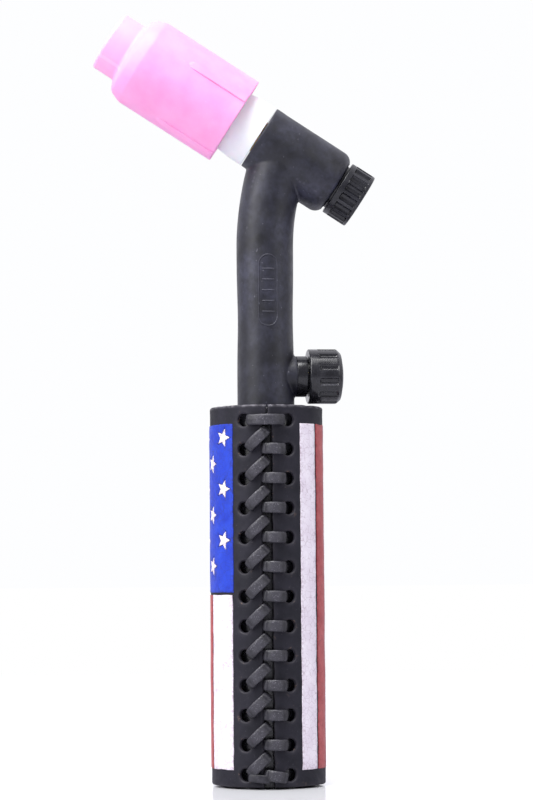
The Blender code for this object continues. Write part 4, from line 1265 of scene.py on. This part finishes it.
def floor():
    """A pale glossy floor, level with the handle's end."""
    reach = 60.0
    f = Finish("studio_floor")
    colour = f.mix(f.noise(400.0), (0.92, 0.93, 0.96), (0.95, 0.955, 0.98))
    finish = f.done(colour, f.uneven(60.0, 0.10, 0.13))
    away = f.ramp(f.node("ShaderNodeVectorMath", "Value", {0: f.place}, "LENGTH"), 150.0, 900.0)
    seen = f.tree.nodes.new("ShaderNodeLightPath").outputs["Is Camera Ray"]
    white = f.node("ShaderNodeEmission", "Emission", {"Color": (1.0, 1.0, 1.0, 1.0)})
    faded = f.node("ShaderNodeMixShader", "Shader", {0: away, 1: f.shader.outputs[0], 2: white})
    dim = f.node("ShaderNodeBsdfDiffuse", "BSDF", {"Color": (0.50, 0.50, 0.54, 1.0)})
    both = f.node("ShaderNodeMixShader", "Shader", {0: seen, 1: dim, 2: faded})
    f.tree.links.new(both, f.tree.nodes["Material Output"].inputs["Surface"])
    mesh = bpy.data.meshes.new("floor")
    corners = [(-reach, -reach, 0.0), (reach, -reach, 0.0), (reach, reach, 0.0), (-reach, reach, 0.0)]
    mesh.from_pydata(corners, [], [(0, 1, 2, 3)])
    mesh.materials.append(finish)
    linked("floor", mesh)


def studio_sky():
    """White all round for the camera. As light it is brighter from behind and above than from the front."""
    world = bpy.data.worlds.new("studio")
    bpy.context.scene.world = world
    world.use_nodes = True
    tree = world.node_tree
    nodes = tree.nodes
    direction = nodes.new("ShaderNodeTexCoord").outputs["Generated"]
    high_and_behind = nodes.new("ShaderNodeVectorMath")
    high_and_behind.operation = "DOT_PRODUCT"
    share = feed(tree, high_and_behind, {0: direction, 1: (0.0, 1.0, 0.6)})["Value"]
    glow = nodes.new("ShaderNodeMapRange")
    glow.interpolation_type = "SMOOTHSTEP"
    values = {"Value": share, "From Min": -0.25, "From Max": 0.55, "To Min": 0.32, "To Max": 1.08}
    light = feed(tree, glow, values)["Result"]
    seen = nodes.new("ShaderNodeLightPath").outputs["Is Camera Ray"]
    strength = feed(tree, nodes.new("ShaderNodeMix"), {0: seen, 2: light, 3: 1.0})[0]
    tint = nodes.new("ShaderNodeMix")
    tint.data_type = "RGBA"
    colour = feed(tree, tint, {0: seen, 6: (0.94, 0.935, 1.0, 1.0), 7: (0.985, 0.99, 1.0, 1.0)})[2]
    feed(tree, nodes["Background"], {"Color": colour, "Strength": strength})


def soft_light(name, place, target, size, power):
    """A square area light at this place that faces the target."""
    data = bpy.data.lights.new(name, "AREA")
    data.size = size
    data.energy = power
    made = linked(name, data)
    made.location = place
    made.rotation_euler = (Vector(target) - Vector(place)).to_track_quat("-Z", "Y").to_euler()
    made.visible_camera = False


def studio():
    low, high = CAD_BOX
    middle = (low + high) / 2.0
    floor()
    studio_sky()
    soft_light("key", middle + Vector((-0.75, -0.40, 0.40)), middle, 0.55, 5.6)
    soft_light("top", middle + Vector((-0.20, -0.40, 0.90)), middle, 0.60, 12.0)
    soft_light("fill", middle + Vector((0.75, -0.55, 0.35)), middle, 0.50, 1.8)


def camera():
    """Level with the lower quarter of the torch, looking slightly up, and far enough away to look flat."""
    low, high = CAD_BOX
    data = bpy.data.cameras.new("camera")
    data.lens = 112.45
    distance = 0.70
    side_step = -0.00024
    level = 0.258 * (high.z - low.z)
    looking_up = 4.215
    roll = 0.45
    made = linked("camera", data)
    made.location = LACING @ Vector((side_step, -distance, low.z + level))
    made.rotation_euler = (radians(90.0 + looking_up), radians(roll), LACING_TURN)
    bpy.context.scene.camera = made


ceramic_cup()
ptfe_insulator()
gas_lens()
electrode()
back_cap()
o_ring("cap_seal", "back_cap_o_ring", HEAD, "back_cap_seal")
o_ring("stem_seal", "valve_stem_o_ring", VALVE, "valve_seal")
valve_trim()
rubber_jacket()
mould_mark()
handle_tube()
leather_wrap()
painted_flag()
lacing()
keep_cad_nodes()
studio()
camera()
bpy.context.scene.view_settings.view_transform = "Standard"
